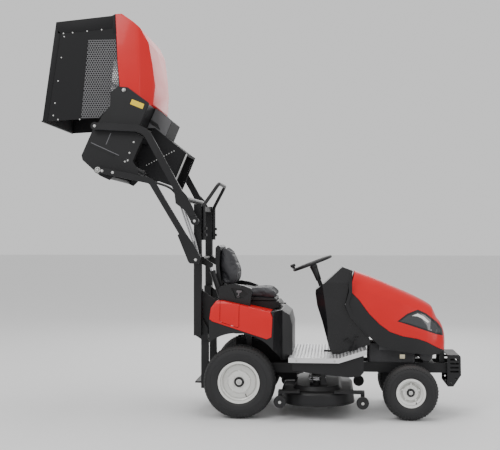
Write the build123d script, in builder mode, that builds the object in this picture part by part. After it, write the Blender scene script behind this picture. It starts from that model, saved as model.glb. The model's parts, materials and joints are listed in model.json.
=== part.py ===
from build123d import *
import os
from math import cos, sin, radians, hypot, atan2, degrees

# Ride-on mower with a rear grass collector that a hydraulic mast lifts and tips.
# It stands on Z = 0 and drives towards +X; its right-hand side is at -Y. Millimetres throughout.
# Heights are from the ground, and lengths along the machine are from the rear axle.

os.makedirs("parts", exist_ok=True)

# ---- driving dimensions ----
rear_axle_x = -77.0       # rear axle from the middle of the machine's length
wheelbase = 1345.0
rear_tyre_d = 575.0
rear_tyre_w = 215.0
rear_rim_d = 331.0
rear_track = 800.0        # centre to centre of the rear tyres
front_tyre_d = 433.0
front_tyre_w = 170.0
front_rim_d = 228.0
front_track = 770.0
rim_wall = 4.0
rear_hub_r = 30.0
front_hub_r = 24.0
rear_axle_r = 17.0
front_spindle_r = 10.0
wheel_bolts = 5
bolt_r = 6.0
tyre_wall = 14.0
running = 0.05            # radial clearance of a shaft in its hole
seat_gap = 0.3            # clearance between neighbours that do not move apart
move_gap = 4.0            # clearance between plates that swing past each other

rail_h = 80.0
rail_w = 40.0
rail_z = 335.0            # underside of the frame rails
rear_rail_y = 205.0       # inner face of a rear rail from the centre
front_rail_y = 110.0      # inner face of a front rail from the centre
rail_joint_x = 440.0      # where the front rails start
frame_nose_x = 1560.0

floor_z = 484.0
floor_half_w = 472.0
sheet = 3.0

deck_x = 615.0            # centre line of the blades
deck_length = 580.0
deck_half_w = 520.0
deck_rim_z = 112.0
deck_top_z = 216.0
deck_plateau_z = 248.0
blade_length = 496.0
blade_y = 252.0           # spindle from the centre
blade_z = 140.0
spindle_r = 12.5
gauge_wheel_d = 96.0
gauge_wheel_w = 38.0
gauge_y = 545.0
gauge_rear_x = 328.0
gauge_front_x = 968.0
gauge_axle_z = 153.0

hood_half_w = 258.0
hood_wall = 4.0
fender_half_w = 484.0
fender_wall = 4.0

post = 58.0               # square section of the mast posts
post_y = 304.0            # inner face of an upper post
leg_y = 228.0             # inner face of a lower post
mast_top_z = 1699.0
arm_w = 30.0
arm_y = 474.0             # inner face of a lifting arm
upper_arm_depth = 56.0
lower_arm_depth = 48.0
upper_foot = (-349.0, 1560.0)
upper_tip = (-1158.0, 2322.0)
lower_foot = (-341.0, 1253.0)
lower_tip = (-1132.0, 1971.0)
pivot_r = 12.0
crank_r = 97.0
crank_angle = -30.0
ram_foot = (-150.0, 880.0)
ram_r = 22.0
ram_y = 240.0             # centre line of a lift ram from the centre

wall_y = 430.0            # outer face of the container's side walls
container_wall = 3.0
tip_pivot = (-934.5, 2617.5)
carrier_wall = 4.0
duct_half_w = 196.0
tip_lug_r = 230.0
tip_lug_angle = 160.0
tip_ram_foot = (-830.0, 1950.0)
tip_ram_y = 456.0
tip_pin_r = 8.0

seat_half_w = 236.0
wheel_tilt = 21.0         # steering wheel, front edge up
wheel_ring_r = 160.0
wheel_grip_r = 13.0
wheel_hub = (570.0, 1214.0)


def spot(x, y, z):
    """A point in space, with x measured from the rear axle."""
    return (rear_axle_x + x, y, z)


def right_side(distance):
    """Plane of a side view, that far to the right of the centre, facing outwards."""
    return Plane(origin=spot(0, -distance, 0), x_dir=(1, 0, 0), z_dir=(0, -1, 0))


def level(height):
    """Plan view plane at a height, with its origin over the rear axle."""
    return Plane(origin=spot(0, 0, height), x_dir=(1, 0, 0), z_dir=(0, 0, 1))


def across(x):
    """Plane square to the machine's length, facing forwards."""
    return Plane(origin=spot(x, 0, 0), x_dir=(0, 1, 0), z_dir=(1, 0, 0))


def profile(points, corner=0.0):
    """Closed outline with straight sides and rounded corners."""
    with BuildSketch(Plane.XY) as shape:
        with BuildLine(Plane.XY):
            Polyline(*points, close=True)
        make_face()
        if corner:
            fillet(shape.vertices(), corner)
    return shape.sketch_local


def bar(points, bend, depth):
    """Outline of a bent bar, from its centre line."""
    with BuildSketch(Plane.XY) as shape:
        with BuildLine(Plane.XY):
            FilletPolyline(*points, radius=bend)
        trace(line_width=depth)
    return shape.sketch_local


def tube(points, bend, radius):
    """Round tube or rod along straight runs joined by bends."""
    with BuildPart(Plane.XY) as bent:
        with BuildLine(Plane.XY) as route:
            FilletPolyline(*points, radius=bend)
        with BuildSketch(Plane(origin=route.line @ 0, z_dir=route.line % 0)):
            Circle(radius)
        sweep(path=route.line)
    return bent.part


def turned(points, axis_x, axis_z, y):
    """Solid turned about a wheel axle; points are (distance outwards, radius)."""
    with BuildPart(Plane.XY) as lathe:
        with BuildSketch(Plane(origin=spot(axis_x, -y, axis_z), x_dir=(0, -1, 0), z_dir=(1, 0, 0))):
            with BuildLine():
                Polyline(*points, close=True)
            make_face()
        revolve(axis=Axis(spot(axis_x, -y, axis_z), (0, -1, 0)))
    return lathe.part


def mirrored(piece):
    """The left-hand twin of a piece."""
    return piece.mirror(Plane.XZ)


# ---- wheels ----
def wheel_pieces(x, tyre_d, tyre_w, rim_d, track, hub_r, axle_r, hub_from):
    """Tyre, rim and hub of one right-hand wheel."""
    r = tyre_d / 2
    bead = rim_d / 2 - 13
    half = tyre_w / 2
    rim_half = half - 22
    crown = r - 10
    tyre = turned([(-rim_half, bead + seat_gap), (-rim_half, bead + 16), (-half + 6, bead + 36),
                   (-half, (bead + r) / 2), (-half + 10, crown - 12), (-half + 34, r), (half - 34, r),
                   (half - 10, crown - 12), (half, (bead + r) / 2), (half - 6, bead + 36),
                   (rim_half, bead + 16), (rim_half, bead + seat_gap),
                   (rim_half - tyre_wall, bead + seat_gap), (rim_half - tyre_wall, bead + 24),
                   (half - tyre_wall - 2, bead + 44), (half - tyre_wall, (bead + r) / 2),
                   (half - 40, r - tyre_wall), (-half + 40, r - tyre_wall),
                   (-half + tyre_wall, (bead + r) / 2), (-half + tyre_wall + 2, bead + 44),
                   (-rim_half + tyre_wall, bead + 24), (-rim_half + tyre_wall, bead + seat_gap)],
                  x, r, track / 2)
    dish = rim_half - 34
    ring = hub_r + 0.45 * (bead - hub_r)
    rim = turned([(-rim_half - 6, bead + 13), (-rim_half - seat_gap, bead + 13),
                  (-rim_half - seat_gap, bead), (-30, bead), (-20, bead - 18), (20, bead - 18),
                  (30, bead), (rim_half + seat_gap, bead), (rim_half + seat_gap, bead + 13),
                  (rim_half + 6, bead + 13), (rim_half + 6, bead - rim_wall),
                  (32, bead - rim_wall), (22, bead - 22), (dish - 20, bead - 22),
                  (dish - 14, ring + 10), (dish, ring), (dish, hub_r + running),
                  (dish - rim_wall, hub_r + running), (dish - rim_wall, ring - 2),
                  (dish - 18, ring + 7), (dish - 24, bead - 26), (-22, bead - 22),
                  (-32, bead - rim_wall), (-rim_half - 6, bead - rim_wall)],
                 x, r, track / 2)
    bolt_circle = (hub_r + ring) / 2
    centre = Plane(origin=spot(x, -track / 2 - dish, r), x_dir=(1, 0, 0), z_dir=(0, -1, 0))
    with BuildPart(Plane.XY) as drilled:
        add(rim)
        with BuildSketch(centre):
            with PolarLocations(bolt_circle, wheel_bolts):
                Circle(bolt_r + 0.5)
        extrude(amount=-20, mode=Mode.SUBTRACT)
    hub = turned([(dish - rim_wall - 12 - seat_gap, axle_r + running), (dish + 8, axle_r + running),
                  (dish + 8, hub_r), (dish - rim_wall - seat_gap, hub_r),
                  (dish - rim_wall - seat_gap, ring - 4), (dish - rim_wall - 12 - seat_gap, ring - 6),
                  (dish - rim_wall - 12 - seat_gap, hub_r), (hub_from, hub_r - 2),
                  (hub_from, axle_r + running), (dish - rim_wall - 12, axle_r + running)],
                 x, r, track / 2)
    with BuildPart(Plane.XY) as bolts:
        with BuildSketch(centre.offset(seat_gap)):
            with PolarLocations(bolt_circle, wheel_bolts):
                RegularPolygon(bolt_r * 1.7, 6)
        extrude(amount=bolt_r * 1.2)
        with BuildSketch(centre.offset(seat_gap)):
            with PolarLocations(bolt_circle, wheel_bolts):
                Circle(bolt_r)
        extrude(amount=-rim_wall - seat_gap * 1.5)
    cap = turned([(dish + 8 + seat_gap, 1), (dish + 8 + seat_gap, hub_r - 3), (dish + 14, hub_r - 4),
                  (dish + 18, hub_r - 10), (dish + 18, 1)], x, r, track / 2)
    return tyre, drilled.part, Compound([hub, cap] + bolts.solids())


rear_tyre, rear_rim, rear_hub = wheel_pieces(
    0, rear_tyre_d, rear_tyre_w, rear_rim_d, rear_track, rear_hub_r, rear_axle_r, -60)
front_tyre, front_rim, front_hub = wheel_pieces(
    wheelbase, front_tyre_d, front_tyre_w, front_rim_d, front_track, front_hub_r, front_spindle_r, -34)

# ---- frame, axles and steering ----
rear_r = rear_tyre_d / 2
front_r = front_tyre_d / 2
rail_top = rail_z + rail_h
leg_x = -328.0            # rear face of the lower posts
cross_wall = 6.0
king_y = 268.0
king_r = 12.0
beam_z = 275.0            # centre of the front axle beam
beam_h = 50.0
lift_shaft_x = 540.0      # deck lifting shaft
lift_shaft_z = 374.0
lift_shaft_r = 11.0
hanger_y = 340.0          # inner face of a deck hanger
link_w = 7.0
steer_arm = 110.0
steer_arm_z = 226.0
tie_r = 9.0
eye_r = 15.0

with BuildPart() as chassis_frame:
    with BuildSketch(across(leg_x + post)):
        for hand in (1, -1):
            with Locations((hand * (rear_rail_y + rail_w / 2), rail_z + rail_h / 2)):
                Rectangle(rail_w, rail_h)
    extrude(amount=rail_joint_x + 60 - leg_x - post)
    with BuildSketch(across(rail_joint_x)):
        for hand in (1, -1):
            with Locations((hand * (front_rail_y + rail_w / 2), rail_z + rail_h / 2)):
                Rectangle(rail_w, rail_h)
    extrude(amount=frame_nose_x - rail_joint_x)
    with BuildSketch(across(leg_x + post)):
        for hand in (1, -1):
            with Locations((hand * (rear_rail_y + rail_w / 2 - 5), rail_z + rail_h / 2)):
                Rectangle(rail_w - 5, rail_h - 12)
    extrude(amount=rail_joint_x - leg_x - post, mode=Mode.SUBTRACT)
    with BuildSketch(across(rail_joint_x + 60)):
        for hand in (1, -1):
            with Locations((hand * (front_rail_y + rail_w / 2 - 5), rail_z + rail_h / 2)):
                Rectangle(rail_w - 5, rail_h - 12)
    extrude(amount=frame_nose_x - rail_joint_x - 60, mode=Mode.SUBTRACT)
    with BuildSketch(level(rail_z)):
        with Locations((rail_joint_x + 30, 0)):
            Rectangle(60, 2 * (rear_rail_y + rail_w))
        with Locations((frame_nose_x - 20, 0), (wheelbase - 260, 0)):
            Rectangle(40, 2 * front_rail_y + rail_w)
    extrude(amount=rail_h)
    with BuildSketch(right_side(0)):
        with Locations((lift_shaft_x, lift_shaft_z)):
            Circle(lift_shaft_r + running)
    extrude(amount=front_rail_y + rail_w + 20, both=True, mode=Mode.SUBTRACT)
    for x in (wheelbase - 44, wheelbase + 36):
        with BuildSketch(across(x)):
            add(profile([(-front_rail_y - rail_w, rail_z + 20), (-45, beam_z - 32), (45, beam_z - 32),
                         (front_rail_y + rail_w, rail_z + 20)]))
            with Locations((0, beam_z)):
                Circle(king_r + running, mode=Mode.SUBTRACT)
        extrude(amount=8)

with BuildPart() as transaxle:
    with BuildSketch(right_side(0)):
        add(profile([(-76, 232), (-62, 316), (60, 316), (116, 300), (116, 232), (60, 216), (-50, 216)], 8))
    extrude(amount=108, both=True)
    with BuildSketch(right_side(0)):
        with Locations((0, rear_r)):
            Circle(30)
    extrude(amount=rear_track / 2 - 62, both=True)
    with BuildSketch(right_side(0)):
        with Locations((0, rear_r)):
            Circle(rear_axle_r)
    extrude(amount=rear_track / 2 + rear_tyre_w / 2 - 52, both=True)
    for hand in (1, -1):
        with BuildSketch(level(rear_r + 26)):
            with Locations((0, hand * (rear_rail_y + rail_w / 2))):
                Rectangle(56, rail_w)
        extrude(amount=rail_z - seat_gap - rear_r - 26)
    with BuildSketch(level(316)):
        with Locations((64, 0)):
            Circle(42)
    extrude(amount=16)

with BuildPart() as front_axle:
    with BuildSketch(across(wheelbase - 30)):
        with Locations((0, beam_z)):
            Rectangle(2 * king_y, beam_h)
            Circle(32)
            Circle(king_r + running, mode=Mode.SUBTRACT)
    extrude(amount=60)
    with BuildSketch(level(beam_z - 35)):
        with Locations((wheelbase, king_y), (wheelbase, -king_y)):
            Circle(26)
    extrude(amount=70)
    with BuildSketch(level(beam_z - 40)):
        with Locations((wheelbase, king_y), (wheelbase, -king_y)):
            Circle(king_r + running)
    extrude(amount=90, mode=Mode.SUBTRACT)

with BuildPart() as axle_pin:
    with BuildSketch(across(wheelbase - 56)):
        with Locations((0, beam_z)):
            Circle(king_r)
    extrude(amount=112)
    with BuildSketch(across(wheelbase + 44 + seat_gap)):
        with Locations((0, beam_z)):
            RegularPolygon(20, 6)
            Circle(king_r, mode=Mode.SUBTRACT)
    extrude(amount=9)

with BuildPart() as knuckle:
    with BuildSketch(level(beam_z - 36)):
        with Locations((wheelbase, -king_y)):
            Circle(king_r)
    extrude(amount=84)
    with BuildSketch(level(front_r - 24)):
        with Locations((wheelbase, -king_y)):
            Rectangle(48, 44)
    extrude(amount=beam_z - 35 - seat_gap - front_r + 24)
    with BuildSketch(right_side(king_y)):
        with Locations((wheelbase, front_r)):
            Circle(front_spindle_r)
    extrude(amount=front_track / 2 - king_y + front_tyre_w / 2 - 54)
    with BuildSketch(level(steer_arm_z)):
        with Locations((wheelbase - steer_arm / 2, -king_y)):
            SlotCenterToCenter(steer_arm, 26)
    extrude(amount=10)
    with BuildSketch(level(steer_arm_z - 24)):
        with Locations((wheelbase - steer_arm, -king_y)):
            Circle(6)
    extrude(amount=24)

with BuildPart() as tie_rod:
    with BuildSketch(Plane(origin=spot(wheelbase - steer_arm, king_y - 12, steer_arm_z - 14),
                           x_dir=(1, 0, 0), z_dir=(0, -1, 0))):
        Circle(tie_r)
    extrude(amount=2 * king_y - 24)
    with BuildSketch(level(steer_arm_z - 25)):
        with Locations((wheelbase - steer_arm, king_y), (wheelbase - steer_arm, -king_y)):
            Circle(eye_r)
    extrude(amount=21)
    with BuildSketch(level(steer_arm_z - 30)):
        with Locations((wheelbase - steer_arm, king_y), (wheelbase - steer_arm, -king_y)):
            Circle(6 + running)
    extrude(amount=40, mode=Mode.SUBTRACT)

# ---- steering wheel and column ----
tilt = radians(wheel_tilt)
hub_plane = Plane(origin=spot(wheel_hub[0], 0, wheel_hub[1]), x_dir=(cos(tilt), 0, sin(tilt)),
                  z_dir=(-sin(tilt), 0, cos(tilt)))
column_r = 17.0
shaft_r = 9.0
knob_angle = 180.0

with BuildPart(hub_plane) as steering_wheel:
    Torus(wheel_ring_r, wheel_grip_r)
    for turn in (90, 210, 330):
        with BuildSketch(hub_plane.offset(-7)):
            with PolarLocations(wheel_ring_r / 2 + 8, 1, start_angle=turn):
                Rectangle(wheel_ring_r - 24, 30)
        extrude(amount=10)
    with BuildSketch(hub_plane.offset(-52)):
        Circle(30)
    extrude(amount=64, taper=5)
    with BuildSketch(hub_plane.offset(-60)):
        Circle(shaft_r + running)
    extrude(amount=50, mode=Mode.SUBTRACT)

knob_foot = hub_plane.offset(wheel_grip_r + seat_gap)
with BuildPart() as spinner_knob:
    with BuildSketch(knob_foot):
        with PolarLocations(wheel_ring_r, 1, start_angle=knob_angle):
            Circle(12)
    extrude(amount=14)
    with BuildSketch(knob_foot.offset(14)):
        with PolarLocations(wheel_ring_r, 1, start_angle=knob_angle):
            Circle(22)
    extrude(amount=24)
    fillet(spinner_knob.edges().filter_by(GeomType.CIRCLE).sort_by(SortBy.RADIUS)[-1], 8)

with BuildPart() as steering_column:
    with BuildSketch(hub_plane.offset(-62)):
        Circle(column_r)
    extrude(amount=-560)
    with BuildSketch(hub_plane.offset(-62)):
        Circle(shaft_r)
    extrude(amount=50)
    with BuildSketch(hub_plane.offset(-62 - 540)):
        Rectangle(90, 90)
    extrude(amount=-50)

# ---- engine bay ----
with BuildPart() as engine:
    with BuildSketch(level(rail_top + seat_gap)):
        with Locations((1215, 0)):
            RectangleRounded(380, 280, 20)
    extrude(amount=150)
    with BuildSketch(level(rail_top + 150)):
        with Locations((1215, 0)):
            Circle(140)
    extrude(amount=100)
    with BuildSketch(across(1110)):
        for hand in (1, -1):
            with Locations((hand * 170, 590)):
                Rectangle(110, 130)
    extrude(amount=200)
    with BuildSketch(level(rail_top + 250)):
        with Locations((1190, 0)):
            RectangleRounded(260, 200, 30)
    extrude(amount=80)
    with BuildSketch(level(rail_top + 5)):
        with Locations((1215, 0)):
            Circle(16)
    extrude(amount=-65)
    with BuildSketch(level(rail_top - 60)):
        with Locations((1215, 0)):
            Circle(62)
    extrude(amount=-24)

with BuildPart() as muffler:
    with BuildSketch(right_side(0)):
        with Locations((1490, 478)):
            Circle(56)
    extrude(amount=150, both=True)
    fillet(muffler.edges().filter_by(GeomType.CIRCLE), 12)
    with BuildSketch(right_side(0)):
        with Locations((1427, 470)):
            Rectangle(40, 34)
    extrude(amount=60, both=True)
    with BuildSketch(level(rail_top + seat_gap)):
        with Locations((1490, 125), (1490, -125)):
            Rectangle(40, 20)
    extrude(amount=20)

# ---- floor ----
ramp_start = 786.0
ramp_end = 1003.0
ramp_end_z = 554.0
floor_back = 391.0
flange_h = 38.0
ramp_slope = (ramp_end_z - floor_z) / (ramp_end - ramp_start)
with BuildPart() as footboard:
    with BuildSketch(right_side(0)):
        add(profile([(floor_back, floor_z), (ramp_start, floor_z), (ramp_end, ramp_end_z),
                     (ramp_end, ramp_end_z - flange_h), (ramp_start, floor_z - flange_h),
                     (floor_back, floor_z - flange_h)]))
    extrude(amount=floor_half_w, both=True)
    with BuildSketch(right_side(0)):
        add(profile([(floor_back + sheet, floor_z - sheet), (ramp_start, floor_z - sheet),
                     (ramp_end + 9, ramp_end_z - sheet + 9 * ramp_slope), (ramp_end + 9, floor_z - 90),
                     (floor_back + sheet, floor_z - 90)]))
    extrude(amount=floor_half_w - sheet, both=True, mode=Mode.SUBTRACT)
    with BuildSketch(level(floor_z + 100)):
        with Locations((hub_plane.origin.X - rear_axle_x + 190, 0)):
            Rectangle(190, 130)
    extrude(amount=-160, mode=Mode.SUBTRACT)
    with BuildSketch(right_side(floor_half_w - 20)):
        with Locations((454, floor_z - 23), (752, floor_z - 23)):
            Circle(7)
    extrude(amount=40, mode=Mode.SUBTRACT)

skirt_y = floor_half_w - 34


def ramp_top(x):
    """Height of the floor's front ramp."""
    return floor_z + (x - ramp_start) * ramp_slope


with BuildPart() as floor_supports:
    with BuildSketch(right_side(skirt_y)):
        add(profile([(412, floor_z - sheet - seat_gap), (421, 382), (616, 355), (870, 332), (951, 341),
                     (980, 372), (980, floor_z - sheet - seat_gap + (980 - ramp_start) * ramp_slope),
                     (ramp_start, floor_z - sheet - seat_gap)], 1))
    extrude(amount=sheet)
    for x, inner in ((470, rear_rail_y + rail_w), (700, front_rail_y + rail_w), (900, front_rail_y + rail_w)):
        with BuildSketch(right_side(inner + seat_gap)):
            with Locations((x, rail_top - 17)):
                Rectangle(30, 30)
        extrude(amount=skirt_y - inner)
    mirror(about=Plane.XZ)

with BuildPart() as pedal_bracket:
    with BuildSketch(right_side(288)):
        add(profile([(870, ramp_top(870) + seat_gap), (940, ramp_top(940) + seat_gap), (930, 560), (880, 548)]))
    extrude(amount=6)
    with BuildSketch(right_side(288)):
        with Locations((902, 541)):
            Circle(7)
    extrude(amount=54)

with BuildPart() as drive_pedal:
    with BuildSketch(right_side(300)):
        add(bar([(902, 541), (890, 580), (852, 606)], 14, 14))
        with Locations((902, 541)):
            Circle(15)
            Circle(7 + running, mode=Mode.SUBTRACT)
    extrude(amount=8)
    with BuildSketch(right_side(276)):
        add(profile([(826, 598), (860, 622), (866, 615), (832, 590)], 2))
    extrude(amount=60)

with BuildPart() as brake_pedal:
    with BuildSketch(right_side(320)):
        add(bar([(902, 541), (912, 590), (930, 633)], 14, 14))
        with Locations((902, 541)):
            Circle(15)
            Circle(7 + running, mode=Mode.SUBTRACT)
    extrude(amount=8)
    with BuildSketch(right_side(318)):
        add(profile([(908, 632), (950, 640), (952, 632), (912, 622)], 2))
    extrude(amount=50)


# ---- body shells ----
def bounded(side_outline, front_outline, plan_outline):
    """Solid that fills a side view, a front view and a plan view at once."""
    with BuildPart(Plane.XY) as block:
        with BuildSketch(right_side(0)):
            add(side_outline)
        extrude(amount=600, both=True)
        with BuildSketch(across(-2000)):
            add(front_outline)
        extrude(amount=4000, mode=Mode.INTERSECT)
        with BuildSketch(level(-10)):
            add(plan_outline)
        extrude(amount=3400, mode=Mode.INTERSECT)
    return block.part


def shrunk(outline, wall):
    """The same outline, moved in by a wall's thickness."""
    with BuildSketch(Plane.XY) as inner:
        add(outline)
        offset(amount=-wall, kind=Kind.INTERSECTION)
    return inner.sketch_local


def cut_from(shell, outline, half_width=620.0):
    """The part of a shell that lies inside a side view outline."""
    with BuildPart(Plane.XY) as piece:
        add(shell)
        with BuildSketch(right_side(0)):
            add(outline)
        extrude(amount=half_width, both=True, mode=Mode.INTERSECT)
    return piece.part


def hollow(outer_side, inner_side, front, plan, wall):
    """Shell between an outer solid and the same solid shrunk by its wall."""
    with BuildPart(Plane.XY) as shell:
        add(bounded(outer_side, front, plan))
        add(bounded(inner_side, shrunk(front, wall), shrunk(plan, wall)), mode=Mode.SUBTRACT)
    return shell.part


hood_crown = [(884, 1010), (930, 1150), (1242, 1022), (1539, 876), (1565, 809), (1616, 738), (1641, 666),
              (1648, 600), (1648, 540)]
hood_foot = [(1582, 545), (1487, 595), (1416, 619), (1295, 639), (1194, 674), (1113, 734), (1032, 815),
             (950, 927), (884, 993)]
trim_foot = [(1626, 525), (1536, 489), (1385, 503), (1234, 521), (1113, 560), (1032, 632), (889, 794),
             (848, 876), (874, 969)]
lamp_outline = [(1254, 756), (1336, 817), (1421, 849), (1487, 819), (1577, 748), (1612, 690), (1600, 640),
                (1487, 681), (1336, 731)]
hood_envelope = profile(hood_crown + [(1648, 300), (700, 300), (700, 1010)])
hood_front = profile([(-hood_half_w, 300), (-hood_half_w, 860), (-hood_half_w + 34, 985),
                      (-hood_half_w + 96, 1110), (-90, 1170), (90, 1170), (hood_half_w - 96, 1110),
                      (hood_half_w - 34, 985), (hood_half_w, 860), (hood_half_w, 300)], 30)
hood_plan = profile([(600, -hood_half_w), (1420, -hood_half_w), (1560, -hood_half_w + 34),
                     (1652, -hood_half_w + 104), (1652, hood_half_w - 104), (1560, hood_half_w - 34),
                     (1420, hood_half_w), (600, hood_half_w)], 30)
bonnet = hollow(hood_envelope, shrunk(hood_envelope, hood_wall), hood_front, hood_plan, hood_wall)
hood_outline = profile(hood_crown + hood_foot)
hood_hinge = (1620.0, 500.0)
hinge_y = 112.0           # inner face of a hinge post
hinge_wall = 8.0
hinge_pin_r = 6.0
trim_outline = profile(trim_foot + hood_foot[::-1] + [(1648, 540), (1648, 528)])

with BuildPart() as hood:
    add(cut_from(bonnet, hood_outline))
    add(cut_from(bonnet, profile(lamp_outline)), mode=Mode.SUBTRACT)

with BuildPart() as headlamps:
    add(cut_from(bonnet, shrunk(profile(lamp_outline), seat_gap)))
    with BuildSketch(level(300)):
        with Locations((1640, 0)):
            Rectangle(160, 200)
    extrude(amount=800, mode=Mode.SUBTRACT)

with BuildPart() as hood_sides:
    add(cut_from(bonnet, shrunk(trim_outline, seat_gap)))
    with BuildSketch(level(300)):
        with Locations((1100, 0)):
            Rectangle(860, 2 * (hood_half_w - 40))
    extrude(amount=800, mode=Mode.SUBTRACT)
    for y in (hinge_y + hinge_wall + seat_gap, -hinge_y - 2 * hinge_wall - seat_gap):
        with BuildSketch(right_side(y)):
            add(profile([(1606, 490), (1634, 490), (1646.5, 529), (1646.5, 538.5), (1634, 538.5), (1604, 508)]))
            with Locations(hood_hinge):
                Circle(hinge_pin_r + running, mode=Mode.SUBTRACT)
        extrude(amount=hinge_wall)

cowl_half_w = 204.0
cowl_wall = 3.5
cowl_back = [(1040, 566), (1003, ramp_end_z + seat_gap), (ramp_start, floor_z + seat_gap),
             (736, floor_z + seat_gap), (710, 531),
             (653, 747), (612, 871), (597, 974), (600, 1000), (664, 1048), (818, 1188), (904, 1156)]
cowl_outline = profile(cowl_back + [(866, 1020), (858, 968), (836, 876), (876, 796), (1020, 636), (1036, 610)])
cowl_front = profile([(-cowl_half_w - 30, 400), (-cowl_half_w, 800), (-cowl_half_w + 30, 1060),
                      (-110, 1200), (110, 1200), (cowl_half_w - 30, 1060), (cowl_half_w, 800),
                      (cowl_half_w + 30, 400)], 20)
cowl_plan = profile([(560, -60), (600, -130), (700, -cowl_half_w - 10), (1060, -cowl_half_w - 30),
                     (1060, cowl_half_w + 30), (700, cowl_half_w + 10), (600, 130), (560, 60)], 20)
cowl_inside = profile([(1200, 300), (736 + cowl_wall, 300)] +
                      [(736 + cowl_wall, floor_z), (710 + cowl_wall, 531), (653 + cowl_wall, 747),
                       (612 + cowl_wall, 871), (597 + cowl_wall, 973), (600 + cowl_wall, 996),
                       (664 + cowl_wall, 1044), (818, 1184), (906, 1151), (1200, 1040)])
with BuildPart() as dash_cowl:
    add(cut_from(hollow(cowl_outline, cowl_inside, cowl_front, cowl_plan, cowl_wall), cowl_outline))
    with BuildSketch(hub_plane):
        Circle(column_r + seat_gap)
    extrude(amount=-560, mode=Mode.SUBTRACT)

fender_roof = [(-185, 925), (-139, 925), (245, 842)]
fender_lip = [(365, 449), (269, 521), (147, 604), (-94, 653), (-237, 692)]
fender_outline = profile([(-237, 692), (-231, 783)] + fender_roof +
                         [(330, 850), (392, 807), (414, 721), (414, 549), (392, floor_z + seat_gap),
                          (386, floor_z + seat_gap)] + fender_lip[:-1])
fender_inside = profile([(-237 + fender_wall, 300), (-231 + fender_wall, 783), (-182, 921), (-139, 921),
                         (245, 838), (328, 846), (388, 804), (410, 720), (410, 300)])
fender_front = profile([(-fender_half_w, 300), (-fender_half_w, 780), (-fender_half_w + 22, 905),
                        (-fender_half_w + 60, 940), (fender_half_w - 60, 940),
                        (fender_half_w - 22, 905), (fender_half_w, 780), (fender_half_w, 300)], 14)
fender_plan = profile([(-240, -fender_half_w), (270, -fender_half_w), (336, -330), (420, -290), (420, 290),
                       (336, 330), (270, fender_half_w), (-240, fender_half_w)], 8)
fender_shell = hollow(fender_outline, fender_inside, fender_front, fender_plan, fender_wall)
red_foot = [(251, 838), (265, 800), (265, 773), (258, 646), (220, 630), (-211, 767), (-231, 780)]
fender_red = profile([(-232, 783)] + fender_roof + red_foot[:-1])
mast_notch_x = -105.0
mast_notch_y = 300.0

with BuildPart() as fenders:
    add(cut_from(fender_shell, fender_red))
    with BuildSketch(level(300)):
        with Locations((mast_notch_x - 200, 0)):
            Rectangle(400, 2 * mast_notch_y)
    extrude(amount=800, mode=Mode.SUBTRACT)

with BuildPart() as wheel_arches:
    add(fender_shell)
    with BuildSketch(right_side(0)):
        add(shrunk(fender_red, -seat_gap))
    extrude(amount=620, both=True, mode=Mode.SUBTRACT)
    with BuildSketch(level(300)):
        with Locations((mast_notch_x - 200, 0)):
            Rectangle(400, 2 * mast_notch_y)
    extrude(amount=800, mode=Mode.SUBTRACT)

tank_x = 60.0
tank_z = 640.0
with BuildPart() as fuel_tank:
    with BuildSketch(level(tank_z)):
        with Locations((tank_x, 0)):
            RectangleRounded(280, 380, 40)
    extrude(amount=180)
    fillet(fuel_tank.faces().sort_by(Axis.Z)[-1].edges(), 20)
    with BuildSketch(level(tank_z - 12)):
        with Locations((tank_x, 0)):
            Rectangle(60, 2 * (rear_rail_y + rail_w - 3))
    extrude(amount=12)
    with BuildSketch(level(rail_top + seat_gap)):
        for hand in (1, -1):
            with Locations((tank_x, hand * (rear_rail_y + rail_w / 2))):
                Rectangle(40, rail_w - 6)
    extrude(amount=tank_z - 6 - rail_top)

# ---- front guard ----
guard_half_w = 190.0
guard_bolt_r = 6.5
with BuildPart() as front_guard:
    with BuildSketch(right_side(0)):
        add(profile([(1655, 485), (1750, 485), (1762, 472), (1764, 323), (1703, 232), (1655, 231)], 8))
    extrude(amount=guard_half_w, both=True)
    with BuildSketch(right_side(0)):
        add(profile([(1600, 480), (1746, 480), (1756, 470), (1758, 326), (1699, 238), (1600, 237)], 4))
    extrude(amount=guard_half_w - 5, both=True, mode=Mode.SUBTRACT)
    with BuildSketch(right_side(0)):
        for row in range(4):
            with Locations((1712, 448 - 32 * row)):
                SlotOverall(70, 15)
    extrude(amount=guard_half_w + 10, both=True, mode=Mode.SUBTRACT)
    with BuildSketch(across(1700)):
        for row in range(4):
            with Locations((-90, 448 - 32 * row), (90, 448 - 32 * row)):
                SlotOverall(150, 15)
    extrude(amount=100, mode=Mode.SUBTRACT)
    with BuildSketch(right_side(0)):
        with Locations((1725, 296), (1682, 262)):
            Circle(guard_bolt_r)
    extrude(amount=guard_half_w + 10, both=True, mode=Mode.SUBTRACT)
    for hand in (1, -1):
        with BuildSketch(across(frame_nose_x + seat_gap)):
            with Locations((hand * (front_rail_y + rail_w / 2), rail_z + rail_h / 2)):
                Rectangle(rail_w - 4, rail_h)
        extrude(amount=1757 - frame_nose_x)
    for y in (hinge_y, -hinge_y - hinge_wall):
        with BuildSketch(right_side(y)):
            add(profile([(1598, rail_top - 6), (1642, rail_top - 6), (1634, 512), (1606, 512)]))
        extrude(amount=hinge_wall)
    for y in (hinge_y, -hinge_y - 3 * hinge_wall):
        with BuildSketch(right_side(y)):
            with Locations(hood_hinge):
                Circle(hinge_pin_r)
        extrude(amount=3 * hinge_wall)

# ---- mowing deck ----
deck_round = 26.0
with BuildPart() as deck_cavity:
    with BuildSketch(level(deck_rim_z)):
        with Locations(Location((deck_x, 0), 90)):
            SlotOverall(2 * deck_half_w - 2 * sheet, deck_length - 2 * sheet)
    extrude(amount=deck_top_z - deck_rim_z - sheet)
    fillet(deck_cavity.faces().sort_by(Axis.Z)[-1].edges(), deck_round - sheet)

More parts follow.
